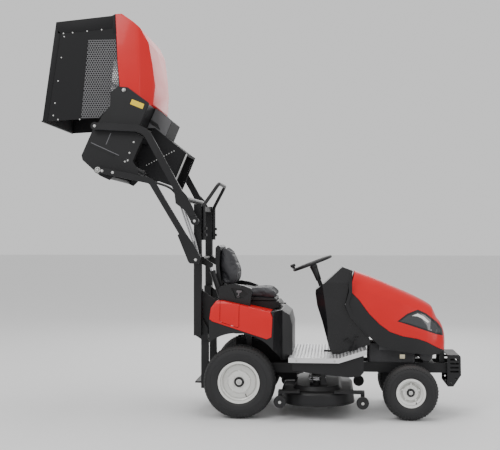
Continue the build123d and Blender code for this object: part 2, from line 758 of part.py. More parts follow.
with BuildPart() as deck_shell:
    with BuildSketch(level(deck_rim_z)):
        with Locations(Location((deck_x, 0), 90)):
            SlotOverall(2 * deck_half_w, deck_length)
    extrude(amount=deck_top_z - deck_rim_z)
    fillet(deck_shell.faces().sort_by(Axis.Z)[-1].edges(), deck_round)
    with BuildSketch(level(deck_top_z - 1)):
        with Locations(Location((deck_x, 0), 90)):
            SlotOverall(2 * deck_half_w - 190, deck_length - 190)
    extrude(amount=deck_plateau_z - deck_top_z + 1, taper=35)
    with BuildSketch(level(deck_rim_z)):
        with Locations(Location((deck_x, 0), 90)):
            SlotOverall(2 * deck_half_w + 16, deck_length + 16)
    extrude(amount=8)
    add(deck_cavity.part, mode=Mode.SUBTRACT)
    with BuildSketch(level(deck_top_z - sheet - 1)):
        with Locations(Location((deck_x, 0), 90)):
            SlotOverall(2 * deck_half_w - 200, deck_length - 200)
    extrude(amount=deck_plateau_z - deck_top_z + 1, taper=35, mode=Mode.SUBTRACT)
    with BuildSketch(level(deck_top_z - 20)):
        with Locations((deck_x, blade_y), (deck_x, -blade_y)):
            Circle(spindle_r + running)
        with Locations((deck_x - deck_length / 2 + 70, 0)):
            Rectangle(104, 2 * 112)
    extrude(amount=120, mode=Mode.SUBTRACT)

with BuildPart() as deck_frame:
    for x in (gauge_rear_x, gauge_front_x):
        with BuildSketch(right_side(gauge_y - gauge_wheel_w / 2 - 8)):
            add(profile([(x - 16, gauge_axle_z - 16), (x + 16, gauge_axle_z - 16),
                         (x + 16, deck_top_z + 16), (x - 16, deck_top_z + 16)], 6))
        extrude(amount=5)
        with BuildSketch(right_side(430)):
            with Locations(((x + deck_x + (150 if x > deck_x else -150)) / 2, deck_top_z + 8 + seat_gap)):
                Rectangle(abs(x - deck_x) - 150 + 32, 16)
        extrude(amount=gauge_y - gauge_wheel_w / 2 - 3 - 430)
        with BuildSketch(right_side(gauge_y - gauge_wheel_w / 2 - 8)):
            with Locations((x, gauge_axle_z)):
                Circle(8)
        extrude(amount=gauge_wheel_w + 12)
    with BuildSketch(right_side(hanger_y)):
        add(profile([(640, deck_plateau_z + seat_gap), (690, deck_plateau_z + seat_gap), (672, 366),
                     (648, 366)]))
    extrude(amount=6)
    with BuildSketch(right_side(hanger_y)):
        add(profile([(640, deck_plateau_z + seat_gap), (690, deck_plateau_z + seat_gap),
                     (690, deck_plateau_z + 4), (640, deck_plateau_z + 4)]))
    extrude(amount=40)
    mirror(about=Plane.XZ)

with BuildPart() as spindle_housings:
    for hand in (1, -1):
        with BuildSketch(level(deck_plateau_z + seat_gap)):
            with Locations((deck_x, hand * blade_y)):
                Circle(62)
        extrude(amount=14)
        with BuildSketch(level(deck_plateau_z + 14)):
            with Locations((deck_x, hand * blade_y)):
                Circle(34)
        extrude(amount=26)
        with BuildSketch(level(deck_plateau_z)):
            with Locations((deck_x, hand * blade_y)):
                Circle(spindle_r + running)
        extrude(amount=60, mode=Mode.SUBTRACT)


def blade_unit(hand):
    """Spindle, pulley and blade of one side of the deck."""
    with BuildPart(Plane.XY) as unit:
        with BuildSketch(level(blade_z - 10)):
            with Locations((deck_x, hand * blade_y)):
                Circle(spindle_r)
        extrude(amount=deck_plateau_z + 66 - blade_z)
        with BuildSketch(level(blade_z)):
            with Locations((deck_x, hand * blade_y)):
                Rectangle(60, blade_length)
        extrude(amount=5)
        with BuildSketch(level(deck_plateau_z + 42)):
            with Locations((deck_x, hand * blade_y)):
                Circle(70)
        extrude(amount=4)
        with BuildSketch(level(deck_plateau_z + 46)):
            with Locations((deck_x, hand * blade_y)):
                Circle(60)
        extrude(amount=10)
        with BuildSketch(level(deck_plateau_z + 56)):
            with Locations((deck_x, hand * blade_y)):
                Circle(70)
        extrude(amount=4)
    return unit.part


with BuildPart() as blade_right:
    add(blade_unit(-1))
with BuildPart() as blade_left:
    add(blade_unit(1))

with BuildPart() as gauge_wheel:
    with BuildSketch(right_side(gauge_y - gauge_wheel_w / 2)):
        with Locations((0, gauge_axle_z)):
            Circle(gauge_wheel_d / 2)
            Circle(8 + running, mode=Mode.SUBTRACT)
    extrude(amount=gauge_wheel_w)
    fillet(gauge_wheel.edges().filter_by(GeomType.CIRCLE).group_by(SortBy.RADIUS)[-1], 8)

with BuildPart() as deck_lift:
    with BuildSketch(right_side(0)):
        with Locations((lift_shaft_x, lift_shaft_z)):
            Circle(lift_shaft_r)
    extrude(amount=hanger_y + 6, both=True)
    with BuildSketch(right_side(hanger_y - seat_gap - link_w)):
        with Locations(Location((lift_shaft_x + 60, lift_shaft_z - 12), -11)):
            SlotCenterToCenter(122, 26)
    extrude(amount=link_w)
    with BuildSketch(right_side(seat_gap - hanger_y)):
        with Locations(Location((lift_shaft_x + 60, lift_shaft_z - 12), -11)):
            SlotCenterToCenter(122, 26)
    extrude(amount=link_w)

tunnel_half_w = 120.0
tunnel_end = rail_joint_x - seat_gap
tunnel_side = profile([(330, 256), (240, 345), (-60, 345), (-60, 600), (300, 560), (tunnel_end, 362),
                       (tunnel_end, 256)])
with BuildPart() as discharge_tunnel:
    with BuildSketch(right_side(0)):
        add(tunnel_side)
    extrude(amount=tunnel_half_w, both=True)
    with BuildSketch(right_side(0)):
        add(profile([(333, 200), (333, 259), (243, 348), (-90, 348), (-90, 600), (-60, 597),
                     (298, 557), (tunnel_end - sheet, 360), (tunnel_end - sheet, 200)]))
    extrude(amount=tunnel_half_w - sheet, both=True, mode=Mode.SUBTRACT)

# ---- mast ----
leg_low_z = 206.0
leg_high_z = 705.0
post_low_z = 640.0
post_x = -377.0
hitch_pin_r = 10.0
with BuildPart() as mast:
    with BuildSketch(level(leg_low_z)):
        with Locations((leg_x + post / 2, -leg_y - post / 2)):
            Rectangle(post, post)
    extrude(amount=leg_high_z - leg_low_z)
    with BuildSketch(level(post_low_z)):
        with Locations((post_x + 30, -post_y - post / 2)):
            Rectangle(60, post)
    extrude(amount=mast_top_z - post_low_z)
    with BuildSketch(right_side(leg_y + 6)):
        add(profile([(-377, 640), (-317, 600), (-270, 600), (-270, 700), (-317, 780), (-377, 780)]))
    extrude(amount=post_y - leg_y)
    with BuildSketch(right_side(leg_y + 42)):
        add(profile([(-318, 1000), (-250, 950), (-150, 912), (-124, 900), (-118, 868), (-270, 640),
                     (-318, 640)], 2))
    extrude(amount=8)
    with BuildSketch(right_side(leg_y + 8)):
        add(profile([(-377, 640), (-317, 640), (-317, 1010), (-377, 1010)]))
    extrude(amount=post_y - leg_y)
    with BuildSketch(right_side(ram_y - 14)):
        with Locations(ram_foot):
            Circle(pivot_r)
    extrude(amount=leg_y + 44 - ram_y + 14)
    with BuildSketch(right_side(post_y + post)):
        with Locations(upper_foot):
            Circle(pivot_r)
    extrude(amount=arm_y + arm_w + 6 - post_y - post)
    with BuildSketch(right_side(post_y + post)):
        with Locations(upper_foot):
            Circle(24)
    extrude(amount=arm_y - seat_gap - post_y - post)
    with BuildSketch(right_side(post_y - 60)):
        with Locations(lower_foot):
            Circle(17 + running)
    extrude(amount=post + 120, mode=Mode.SUBTRACT)
    mirror(about=Plane.XZ)
    with BuildSketch(right_side(0)):
        add(profile([(-384, 240), (leg_x + 4, 240), (leg_x + 4, 254), (-384, 254)]))
    extrude(amount=leg_y + 10, both=True)
    with BuildSketch(level(230)):
        with Locations((-362, 0)):
            Circle(hitch_pin_r)
    extrude(amount=40, mode=Mode.SUBTRACT)
    with BuildSketch(right_side(0)):
        with Locations((-347, mast_top_z - 30)):
            Rectangle(50, 40)
    extrude(amount=post_y + 4, both=True)
    with BuildSketch(right_side(0)):
        with Locations((leg_x + post - 14, rail_z - 14)):
            Rectangle(28, 22)
    extrude(amount=leg_y + 4, both=True)

hoop_r = 14.0
hoop_x = post_x + 60 + hoop_r + seat_gap
with BuildPart() as hoop_guard:
    add(tube([spot(hoop_x, -318, 1409), spot(hoop_x, -318, 1690), spot(-192, -212, 1872),
              spot(-192, 212, 1872), spot(hoop_x, 318, 1690), spot(hoop_x, 318, 1409)], 60, hoop_r))

with BuildPart() as hoop_clamps:
    for height in (1440, 1492):
        with BuildSketch(level(height)):
            with Locations((hoop_x + 10, -318)):
                Rectangle(2 * hoop_r + 4, 2 * hoop_r + 12)
            with Locations((hoop_x, -318)):
                Circle(hoop_r + seat_gap, mode=Mode.SUBTRACT)
            with Locations((hoop_x - 8, -318)):
                Rectangle(16, 2 * hoop_r + 2 * seat_gap, mode=Mode.SUBTRACT)
        extrude(amount=22)
    mirror(about=Plane.XZ)

# ---- lifting arms ----
cross_tube = (-425.0, 1735.0)
link_shaft_r = 17.0


def polar(centre, radius, angle):
    """Point at a radius and an angle in degrees from a centre, in a side view."""
    return (centre[0] + radius * cos(radians(angle)), centre[1] + radius * sin(radians(angle)))


crank_tip = polar(lower_foot, crank_r, crank_angle)
with BuildPart() as upper_arms:
    with BuildSketch(right_side(arm_y)):
        add(bar([upper_tip, (-755, 2298), upper_foot], 140, upper_arm_depth))
        with Locations(upper_tip, upper_foot):
            Circle(upper_arm_depth / 2 + 4)
        with Locations(upper_foot):
            Circle(pivot_r + running, mode=Mode.SUBTRACT)
    extrude(amount=arm_w)
    with BuildSketch(right_side(arm_y + arm_w)):
        add(profile([(-512, 1800), (-466, 1822), (-412, 1762), (-362, 1668), (-345, 1605), (-392, 1598),
                     (-420, 1640), (-500, 1700)], 8))
    extrude(amount=6)
    with BuildSketch(right_side(arm_y - 6)):
        with Locations(upper_tip):
            Circle(22)
    extrude(amount=8)
    with BuildSketch(right_side(wall_y + move_gap / 2)):
        with Locations(upper_tip):
            Circle(pivot_r)
    extrude(amount=arm_y - wall_y)
    mirror(about=Plane.XZ)
    with BuildSketch(right_side(0)):
        with Locations(cross_tube):
            Circle(22)
    extrude(amount=arm_y + 2, both=True)

with BuildPart() as lower_arm:
    with BuildSketch(right_side(arm_y)):
        add(bar([lower_tip, (-700, 1880), (-405, 1389), lower_foot], 60, lower_arm_depth))
        add(profile([(-486, 1448), (-440, 1490), (-330, 1330), (-300, 1270), (-312, 1222), (-386, 1224),
                     (-400, 1240)], 10))
        with Locations(lower_tip):
            Circle(lower_arm_depth / 2 + 5)
    extrude(amount=arm_w)
    with BuildSketch(right_side(wall_y + move_gap + carrier_wall + seat_gap)):
        with Locations(lower_tip):
            Circle(pivot_r + 6)
    extrude(amount=arm_y - wall_y - move_gap - carrier_wall)
    with BuildSketch(right_side(0)):
        with Locations(lower_foot):
            Circle(link_shaft_r)
    extrude(amount=arm_y + 2, both=True)
    for y in (ram_y + 14, -ram_y - 22):
        with BuildSketch(right_side(y)):
            with Locations(lower_foot):
                Circle(30)
            with Locations(crank_tip):
                Circle(22)
            make_hull()
        extrude(amount=8)

ram_dx = crank_tip[0] - ram_foot[0]
ram_dz = crank_tip[1] - ram_foot[1]
ram_length = hypot(ram_dx, ram_dz)
ram_tilt = degrees(atan2(ram_dz, ram_dx))
barrel_length = 292.0


def ram_plane(foot, angle, y):
    """Plane square to a ram at its foot, on the right at a distance from the centre."""
    a = radians(angle)
    return Plane(origin=spot(foot[0], -y, foot[1]), x_dir=(0, 1, 0), z_dir=(cos(a), 0, sin(a)))


def ram_barrel(foot, angle, y, radius, length, rod_r, foot_r):
    """Cylinder of a hydraulic ram with an eye at its foot."""
    with BuildPart(Plane.XY) as barrel:
        with BuildSketch(ram_plane(foot, angle, y).offset(foot_r + 10)):
            Circle(radius)
        extrude(amount=length - foot_r - 10)
        with BuildSketch(ram_plane(foot, angle, y).offset(length - 16)):
            Circle(radius + 3)
        extrude(amount=16)
        with BuildSketch(ram_plane(foot, angle, y)):
            Rectangle(20, 2 * foot_r)
        extrude(amount=foot_r + 14)
        with BuildSketch(right_side(y - 10)):
            with Locations(foot):
                Circle(foot_r + 8)
        extrude(amount=20)
        with BuildSketch(right_side(y - 30)):
            with Locations(foot):
                Circle(foot_r + running)
        extrude(amount=60, mode=Mode.SUBTRACT)
        with BuildSketch(ram_plane(foot, angle, y).offset(foot_r + 22)):
            Circle(rod_r + running)
        extrude(amount=length, mode=Mode.SUBTRACT)
    return barrel.part


def ram_rod(foot, angle, y, length, reach, rod_r):
    """Rod of a ram, with its end eye at the full reach."""
    with BuildPart(Plane.XY) as rod:
        with BuildSketch(ram_plane(foot, angle, y).offset(length)):
            Circle(rod_r)
        extrude(amount=reach - length)
        with BuildSketch(right_side(y - 9)):
            with Locations(polar(foot, reach, angle)):
                Circle(rod_r + 9)
        extrude(amount=18)
    return rod.part


lift_rod_r = 12.0
with BuildPart() as lift_barrels:
    add(ram_barrel(ram_foot, ram_tilt, ram_y, ram_r, barrel_length, lift_rod_r, pivot_r))
    mirror(about=Plane.XZ)
with BuildPart() as lift_rods:
    add(ram_rod(ram_foot, ram_tilt, ram_y, 40, ram_length, lift_rod_r))
    mirror(about=Plane.XZ)

# ---- collector carrier ----
carrier_y = wall_y + move_gap
cheek = [(-1170, 2337), (-1190, 2300), (-1283, 2093), (-1274, 2056), (-1132, 1929), (-1050, 1891),
         (-975, 1965), (-866, 2228), (-845, 2279)]
top_plate = [(-1176, 2300), (-1150, 2350), (-1117, 2406), (-1051, 2485), (-1042, 2560), (-1046, 2600),
             (-985, 2645), (-905, 2640), (-728, 2509), (-810, 2326), (-845, 2279), (-880, 2240)]
carrier_beams = [[(-836, 2276), (-776, 2232), (-792, 2192), (-854, 2236)],
                 [(-958, 1990), (-866, 2008), (-868, 2046), (-936, 2040)]]
with BuildPart() as carrier_frame:
    with BuildSketch(right_side(carrier_y)):
        add(profile(cheek, 6))
        add(profile(top_plate, 5))
        with Locations(tip_pivot, upper_tip):
            Circle(pivot_r + running, mode=Mode.SUBTRACT)
    extrude(amount=carrier_wall)
    mirror(about=Plane.XZ)
    with BuildSketch(right_side(0)):
        for beam in carrier_beams:
            add(profile(beam))
        add(profile([(-733, 2500), (-812, 2322), (-808, 2320), (-729, 2498)]))
        add(profile([(-838, 2266), (-812, 2322), (-808, 2320), (-826, 2262)]))
        with Locations((-1092, 1930)):
            Circle(19)
    extrude(amount=carrier_y + 1, both=True)
    with BuildSketch(right_side(0)):
        add(profile([(-841.9, 2258), (-836.9, 2256), (-942.1, 2011), (-947.1, 2013)]))
    extrude(amount=carrier_y + 1, both=True)
    with BuildSketch(right_side(0)):
        add(profile([(-820, 2300), (-700, 2300), (-780, 2000), (-1000, 1960), (-960, 2060)]))
    extrude(amount=duct_half_w - 4, both=True, mode=Mode.SUBTRACT)
    with BuildSketch(right_side(carrier_y + carrier_wall)):
        add(profile([(-1218, 2178), (-1210, 2190), (-1010, 2100), (-1016, 2088)]))
    extrude(amount=5)
    for hand in (1, -1):
        with BuildSketch(right_side(hand * (carrier_y + carrier_wall / 2) - carrier_wall / 2)):
            add(profile([(-845, 2279), (-866, 2228), (-975, 1965), (-850, 1925), (-818, 1935), (-812, 1965),
                         (-863, 2044), (-778, 2234)]))
        extrude(amount=carrier_wall)
    with BuildSketch(right_side(-tip_ram_y - 12)):
        with Locations(tip_ram_foot):
            Circle(tip_pin_r)
    extrude(amount=tip_ram_y + 12 - carrier_y)

duct_outline = [(-806, 2262), (-731, 2336), (-463, 2126), (-575, 1850), (-719, 1903), (-787, 1953),
                (-858, 2004), (-944, 1984)]
with BuildPart() as duct:
    with BuildSketch(right_side(0)):
        add(profile(duct_outline))
    extrude(amount=duct_half_w, both=True)
    with BuildSketch(right_side(0)):
        add(profile([(-845, 2256), (-731, 2332), (-440, 2104), (-560, 1850), (-573, 1854), (-717, 1907),
                     (-785, 1957), (-857, 2008), (-964, 1984)]))
    extrude(amount=duct_half_w - sheet, both=True, mode=Mode.SUBTRACT)
    with BuildSketch(right_side(0)):
        for beam in carrier_beams:
            add(shrunk(profile(beam), -seat_gap))
        add(profile([(-1000, 2290), (-828, 2290), (-829.7, 2272), (-951.7, 1988), (-954, 1960),
                     (-1000, 1960)]))
    extrude(amount=duct_half_w + 20, both=True, mode=Mode.SUBTRACT)

with BuildPart() as duct_flange:
    with BuildSketch(right_side(0)):
        add(profile([(-462.8, 2125.7), (-450.8, 2120.7), (-562.8, 1844.7), (-574.8, 1849.7)]))
    extrude(amount=duct_half_w + 14, both=True)
    with BuildSketch(right_side(0)):
        add(profile([(-480, 2108), (-440, 2098), (-545, 1862), (-590, 1860)]))
    extrude(amount=duct_half_w - sheet, both=True, mode=Mode.SUBTRACT)

with BuildPart() as vent_box:
    with BuildSketch(right_side(0)):
        add(profile([(-721, 2503), (-585, 2391), (-638, 2263.7), (-727, 2333.4), (-795, 2334)]))
    extrude(amount=duct_half_w, both=True)
    with BuildSketch(right_side(0)):
        add(profile([(-719, 2497), (-589, 2389), (-640, 2275), (-727, 2344), (-791, 2338)]))
    extrude(amount=duct_half_w - sheet, both=True, mode=Mode.SUBTRACT)

with BuildPart() as hose_coupling:
    with BuildSketch(ram_plane((-880, 1990), -23, 408)):
        Circle(20)
    extrude(amount=110)
    with BuildSketch(ram_plane((-880, 1990), -23, 408).offset(96)):
        Circle(25)
    extrude(amount=20)

# ---- collector container ----
container = [(-1610, 2372), (-1497, 3180), (-1030, 3222), (-1009, 3236), (-957, 3239), (-857, 3168),
             (-806, 3122), (-749, 3014), (-722, 2841), (-703, 2670), (-716, 2512), (-1142, 2395)]
container_inner = [(-1607, 2374), (-1494, 3177), (-1029, 3218), (-1008, 3232), (-958, 3235), (-859, 3165),
                   (-809, 3120), (-752, 3013), (-726, 2841), (-707, 2670), (-718, 2480), (-1142, 2330),
                   (-1612, 2330)]
box_plan = [(-1660, -wall_y), (-812, -wall_y), (-716, -wall_y + 96), (-700, -wall_y + 130),
            (-700, wall_y - 130), (-716, wall_y - 96), (-812, wall_y), (-1660, wall_y)]
box_front = profile([(-wall_y, 2000), (-wall_y, 3260), (wall_y, 3260), (wall_y, 2000)])
with BuildPart() as box_shell:
    add(bounded(profile(container), box_front, profile(box_plan)))
    add(bounded(profile(container_inner), shrunk(box_front, container_wall),
                shrunk(profile(box_plan), container_wall)), mode=Mode.SUBTRACT)
cover_outline = [(-1009, 3240), (-640, 3240), (-640, 2440), (-716, 2440), (-965, 2560), (-970, 2637),
                 (-989, 2843)]
window = [(-1231, 3031), (-1005, 3031), (-992, 2843), (-975, 2637), (-1046, 2575), (-1051, 2485),
          (-1142, 2398), (-1290, 2398)]
with BuildPart() as container_cover:
    add(cut_from(box_shell.part, shrunk(profile(cover_outline), seat_gap)))
    with BuildSketch(right_side(0)):
        with Locations(tip_pivot):
            Circle(pivot_r + 1)
    extrude(amount=620, both=True, mode=Mode.SUBTRACT)

with BuildPart() as container_walls:
    add(box_shell.part)
    with BuildSketch(right_side(0)):
        add(profile(cover_outline))
    extrude(amount=620, both=True, mode=Mode.SUBTRACT)
    for hand in (1, -1):
        with BuildSketch(right_side(hand * wall_y - 20)):
            add(profile(window))
        extrude(amount=40, mode=Mode.SUBTRACT)

with BuildPart() as side_meshes:
    with BuildSketch(right_side(wall_y - container_wall)):
        add(shrunk(profile(window), seat_gap))
        with Locations(polar(tip_pivot, tip_lug_r, tip_lug_angle)):
            Circle(19, mode=Mode.SUBTRACT)
    extrude(amount=1.5)
    mirror(about=Plane.XZ)

frame_bar = 22.0
with BuildPart() as container_frame:
    for y in (wall_y - container_wall - frame_bar - seat_gap, -wall_y + container_wall + seat_gap):
        with BuildSketch(right_side(y)):
            add(bar([(-1000, 3200), (-955, 2640), (-1010, 2470)], 20, frame_bar))
            add(bar([tip_pivot, (-1020, 2662), polar(tip_pivot, tip_lug_r, tip_lug_angle)], 30, frame_bar))
            with Locations(tip_pivot):
                Circle(30)
        extrude(amount=frame_bar)
    with BuildSketch(right_side(0)):
        with Locations((-1004, 3196), (-958, 2690)):
            Circle(frame_bar / 2)
    extrude(amount=wall_y - container_wall - 2, both=True)
    with BuildSketch(right_side(wall_y - container_wall - 10)):
        with Locations(tip_pivot):
            Circle(pivot_r)
    extrude(amount=24 + carrier_wall)
    with BuildSketch(right_side(-wall_y - 14 - carrier_wall)):
        with Locations(tip_pivot):
            Circle(pivot_r)
    extrude(amount=24 + carrier_wall)
    with BuildSketch(right_side(-wall_y - 16)):
        with Locations(polar(tip_pivot, tip_lug_r, tip_lug_angle)):
            Circle(15)
    extrude(amount=32)

tip_lug = polar(tip_pivot, tip_lug_r, tip_lug_angle)
tip_reach = hypot(tip_lug[0] - tip_ram_foot[0], tip_lug[1] - tip_ram_foot[1])
tip_tilt = degrees(atan2(tip_lug[1] - tip_ram_foot[1], tip_lug[0] - tip_ram_foot[0]))
tip_barrel = 500.0
with BuildPart() as tip_ram_barrel:
    add(ram_barrel(tip_ram_foot, tip_tilt, -tip_ram_y, 13, tip_barrel, 7, tip_pin_r))
with BuildPart() as tip_ram_rod:
    add(ram_rod(tip_ram_foot, tip_tilt, -tip_ram_y, 290, tip_reach, 7))

# ---- hoses ----
hose_r = 8.0
hose_eye = (-470.0, 1700.0)
with BuildPart() as mast_hoses:
    for shift in (0, 20):
        add(tube([spot(-467 + shift, -452, 1679), spot(-442 + shift, -450, 1600),
                  spot(-404 + shift, -440, 1490), spot(-372 + shift, -428, 1390),
                  spot(-352 + shift, -420, 1302.3)], 40, hose_r))
with BuildPart() as hose_clamp:
    with BuildSketch(level(1270)):
        with Locations((-342, -404)):
            Rectangle(56, 64)
    extrude(amount=30)
    with BuildSketch(right_side(post_y + post)):
        with Locations((-347, 1285)):
            Rectangle(40, 26)
    extrude(amount=12)
with BuildPart() as arm_hose:
    add(tube([spot(-473.4, -456, 1720), spot(-500, -452, 1770), spot(-545, -444, 1822),
              spot(-612, -436, 1852), spot(-690, -424, 1872), spot(-764, -414, 1922)], 30, hose_r + 2))
with BuildPart() as hose_eye_block:
    with BuildSketch(right_side(arm_y - 34)):
        with Locations((-464, 1702)):
            Circle(19)
    extrude(amount=34 - seat_gap)

# ---- seat and consoles ----
roof_slope = (842 - 925) / (245 + 139)


def roof(x):
    """Height of the fender roof above the ground at a distance ahead of the rear axle."""
    return 925 + max(0, x + 139) * roof_slope


base_half_w = 190.0
with BuildPart() as seat_base:
    with BuildSketch(right_side(0)):
        add(profile([(-40, roof(-40) + seat_gap), (-40, 908), (296, 908), (318, 880), (318, 868),
                     (245, roof(245) + seat_gap)]))
    extrude(amount=base_half_w, both=True)

with BuildPart() as seat_rails:
    for hand in (1, -1):
        with BuildSketch(right_side(hand * 140 - 14)):
            with Locations((130, 912)):
                Rectangle(300, 7)
        extrude(amount=28)

seat_pad_z = 916.0
with BuildPart() as seat_shell:
    with BuildSketch(right_side(0)):
        add(profile([(-222, 1345), (-200, 1368), (-182, 1350), (-190, 1200), (-172, 1050), (-122, 948),
                     (270, 934), (282, seat_pad_z), (0, seat_pad_z), (-126, 934), (-192, 962),
                     (-208, 1040), (-224, 1240)], 4))
    extrude(amount=198, both=True)

with BuildPart() as seat_cushion:
    with BuildSketch(right_side(0)):
        add(profile([(-108, 948), (-104, 1000), (-60, 1016), (20, 1003), (170, 1010), (276, 1004),
                     (304, 980), (300, 944), (270, 934.5)], 6))
    extrude(amount=seat_half_w, both=True)
    fillet(seat_cushion.edges().filter_by(Axis.Y, reverse=True).group_by(Axis.Z)[-1], 6)

with BuildPart() as seat_back:
    with BuildSketch(right_side(0)):
        add(profile([(-178, 1352), (-150, 1368), (-128, 1348), (-48, 1171), (-30, 1126), (-34, 1072),
                     (-60, 1030), (-150, 1024), (-164, 1050), (-189.6, 1200)], 6))
    extrude(amount=200, both=True)

console_in = 268.0
console_out = 345.0
console_wall = 4.0
console_outline = [(-178, 1010), (-168, 1030), (-146, 1042), (-57, 1057), (22, 1043), (87, 1019), (94, 994),
                   (76, roof(76) + seat_gap), (-139, 925 + seat_gap), (-178, 925 + seat_gap)]
recess = [(-76, 1023), (22, 1010), (58, 975), (20, 940), (-40, 940)]
with BuildPart() as console_right:
    with BuildSketch(right_side(console_in)):
        add(profile(console_outline, 5))
    extrude(amount=console_out - console_in)
    with BuildSketch(right_side(console_out - 30)):
        add(profile(recess, 4))
    extrude(amount=60, mode=Mode.SUBTRACT)
    with BuildSketch(right_side(console_out - 30)):
        with Locations((-20, 955)):
            Circle(5)
    extrude(amount=26)

with BuildPart() as console_left:
    with BuildSketch(right_side(-console_out)):
        add(profile(console_outline, 5))
    extrude(amount=console_out - console_in)
    with BuildSketch(right_side(-console_out - 10)):
        add(profile(recess, 4))
    extrude(amount=40, mode=Mode.SUBTRACT)
    with BuildSketch(right_side(-console_out + 4)):
        with Locations((-20, 955)):
            Circle(5)
    extrude(amount=26)


def console_lever(y):
    """Lever with a flat knob that turns on the pin in a console's recess."""
    with BuildPart(Plane.XY) as lever:
        with BuildSketch(right_side(y)):
            with Locations((-20, 955)):
                Circle(11)
            add(bar([(-20, 955), (-14, 985), (-10, 1000)], 20, 9))
            add(profile([(-38, 988), (-30, 1006), (8, 1003), (12, 992), (-10, 982)], 3))
            with Locations((-20, 955)):
                Circle(5 + running, mode=Mode.SUBTRACT)
        extrude(amount=12)
    return lever.part


with BuildPart() as collector_lever:
    add(console_lever(console_out - 22))
with BuildPart() as height_lever:
    add(console_lever(-console_out + 10))

with BuildPart() as seat_lever:
    with BuildSketch(level(891)):
        with Locations((332, -205)):
            Rectangle(44, 12)
    extrude(amount=6)
    with BuildSketch(level(889)):
        with Locations((350, -205)):
            Circle(11)
    extrude(amount=10)
    with BuildSketch(level(880)):
        with Locations((304, -base_half_w - seat_gap - 10)):
            Rectangle(24, 20)
    extrude(amount=17)

with BuildPart() as belt:
    with BuildSketch(level(deck_plateau_z + 46.5)):
        with Locations(Location((deck_x, 0), 90)):
            SlotCenterToCenter(2 * blade_y, 2 * (60 + 9))
            SlotCenterToCenter(2 * blade_y, 2 * (60 + 0.5), mode=Mode.SUBTRACT)
    extrude(amount=9)


def group(*parts):
    """Several solids that are bolted together, kept apart in one node."""
    return Compound([solid for part in parts for solid in part.solids()])


def gauge_wheel_at(x, hand):
    """Deck gauge wheel on its axle, on the right (-1) or the left (1)."""
    wheel = gauge_wheel.part.moved(Location((x, 0, 0)))
    return wheel if hand < 0 else mirrored(wheel)


pieces = {
    "chassis_frame": group(chassis_frame.part, axle_pin.part), "transaxle": transaxle.part,
    "front_axle": front_axle.part, "knuckle_right": knuckle.part, "knuckle_left": mirrored(knuckle.part),
    "tie_rod": tie_rod.part, "steering_wheel": steering_wheel.part, "spinner_knob": spinner_knob.part,
    "steering_column": steering_column.part,
    "rear_tyre_right": rear_tyre, "rear_tyre_left": mirrored(rear_tyre),
    "rear_rim_right": group(rear_rim, rear_hub),
    "rear_rim_left": group(mirrored(rear_rim), mirrored(rear_hub)),
    "front_tyre_right": front_tyre, "front_tyre_left": mirrored(front_tyre),
    "front_rim_right": group(front_rim, front_hub),
    "front_rim_left": group(mirrored(front_rim), mirrored(front_hub)),
    "engine": group(engine.part, muffler.part), "footboard": footboard.part,
    "floor_supports": group(floor_supports.part, pedal_bracket.part),
    "drive_pedal": drive_pedal.part, "brake_pedal": brake_pedal.part, "hood": hood.part,
    "headlamps": headlamps.part, "hood_sides": hood_sides.part, "dash_cowl": dash_cowl.part,
    "fenders": fenders.part, "wheel_arches": wheel_arches.part, "fuel_tank": fuel_tank.part,
    "front_guard": front_guard.part, "deck_shell": group(deck_shell.part, spindle_housings.part, belt.part),
    "deck_frame": deck_frame.part, "blade_right": blade_right.part, "blade_left": blade_left.part,
    "deck_lift": deck_lift.part, "discharge_tunnel": discharge_tunnel.part,
    "gauge_wheel_rear_right": gauge_wheel_at(gauge_rear_x, -1),
    "gauge_wheel_rear_left": gauge_wheel_at(gauge_rear_x, 1),
    "gauge_wheel_front_right": gauge_wheel_at(gauge_front_x, -1),
    "gauge_wheel_front_left": gauge_wheel_at(gauge_front_x, 1),
    "mast": group(mast.part, hose_clamp.part, hoop_guard.part, hoop_clamps.part),
    "upper_arms": group(upper_arms.part, hose_eye_block.part), "lower_arm": lower_arm.part,
    "lift_barrels": lift_barrels.part, "lift_rods": lift_rods.part,
    "carrier_frame": group(carrier_frame.part, hose_coupling.part),
    "duct": group(duct.part, duct_flange.part, vent_box.part),
    "container_cover": container_cover.part,
    "container_walls": group(container_walls.part, container_frame.part), "side_meshes": side_meshes.part,
    "tip_ram_barrel": tip_ram_barrel.part, "tip_ram_rod": tip_ram_rod.part,
    "hoses": group(mast_hoses.part, arm_hose.part),
    "seat_base": group(seat_base.part, seat_rails.part, seat_lever.part), "seat_shell": seat_shell.part,
    "seat_cushion": seat_cushion.part, "seat_back": seat_back.part,
    "consoles": group(console_right.part, console_left.part),
    "collector_lever": collector_lever.part, "height_lever": height_lever.part,
}
for name, piece in pieces.items():
    piece.label = name
    export_step(piece, f"parts/{name}.step")
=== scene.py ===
"""Looks of a ride-on mower with a high-tip grass collector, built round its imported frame."""
import json
import math

import bmesh
import bpy
from bpy.props import FloatProperty, FloatVectorProperty, IntProperty, PointerProperty
from mathutils import Matrix, Vector


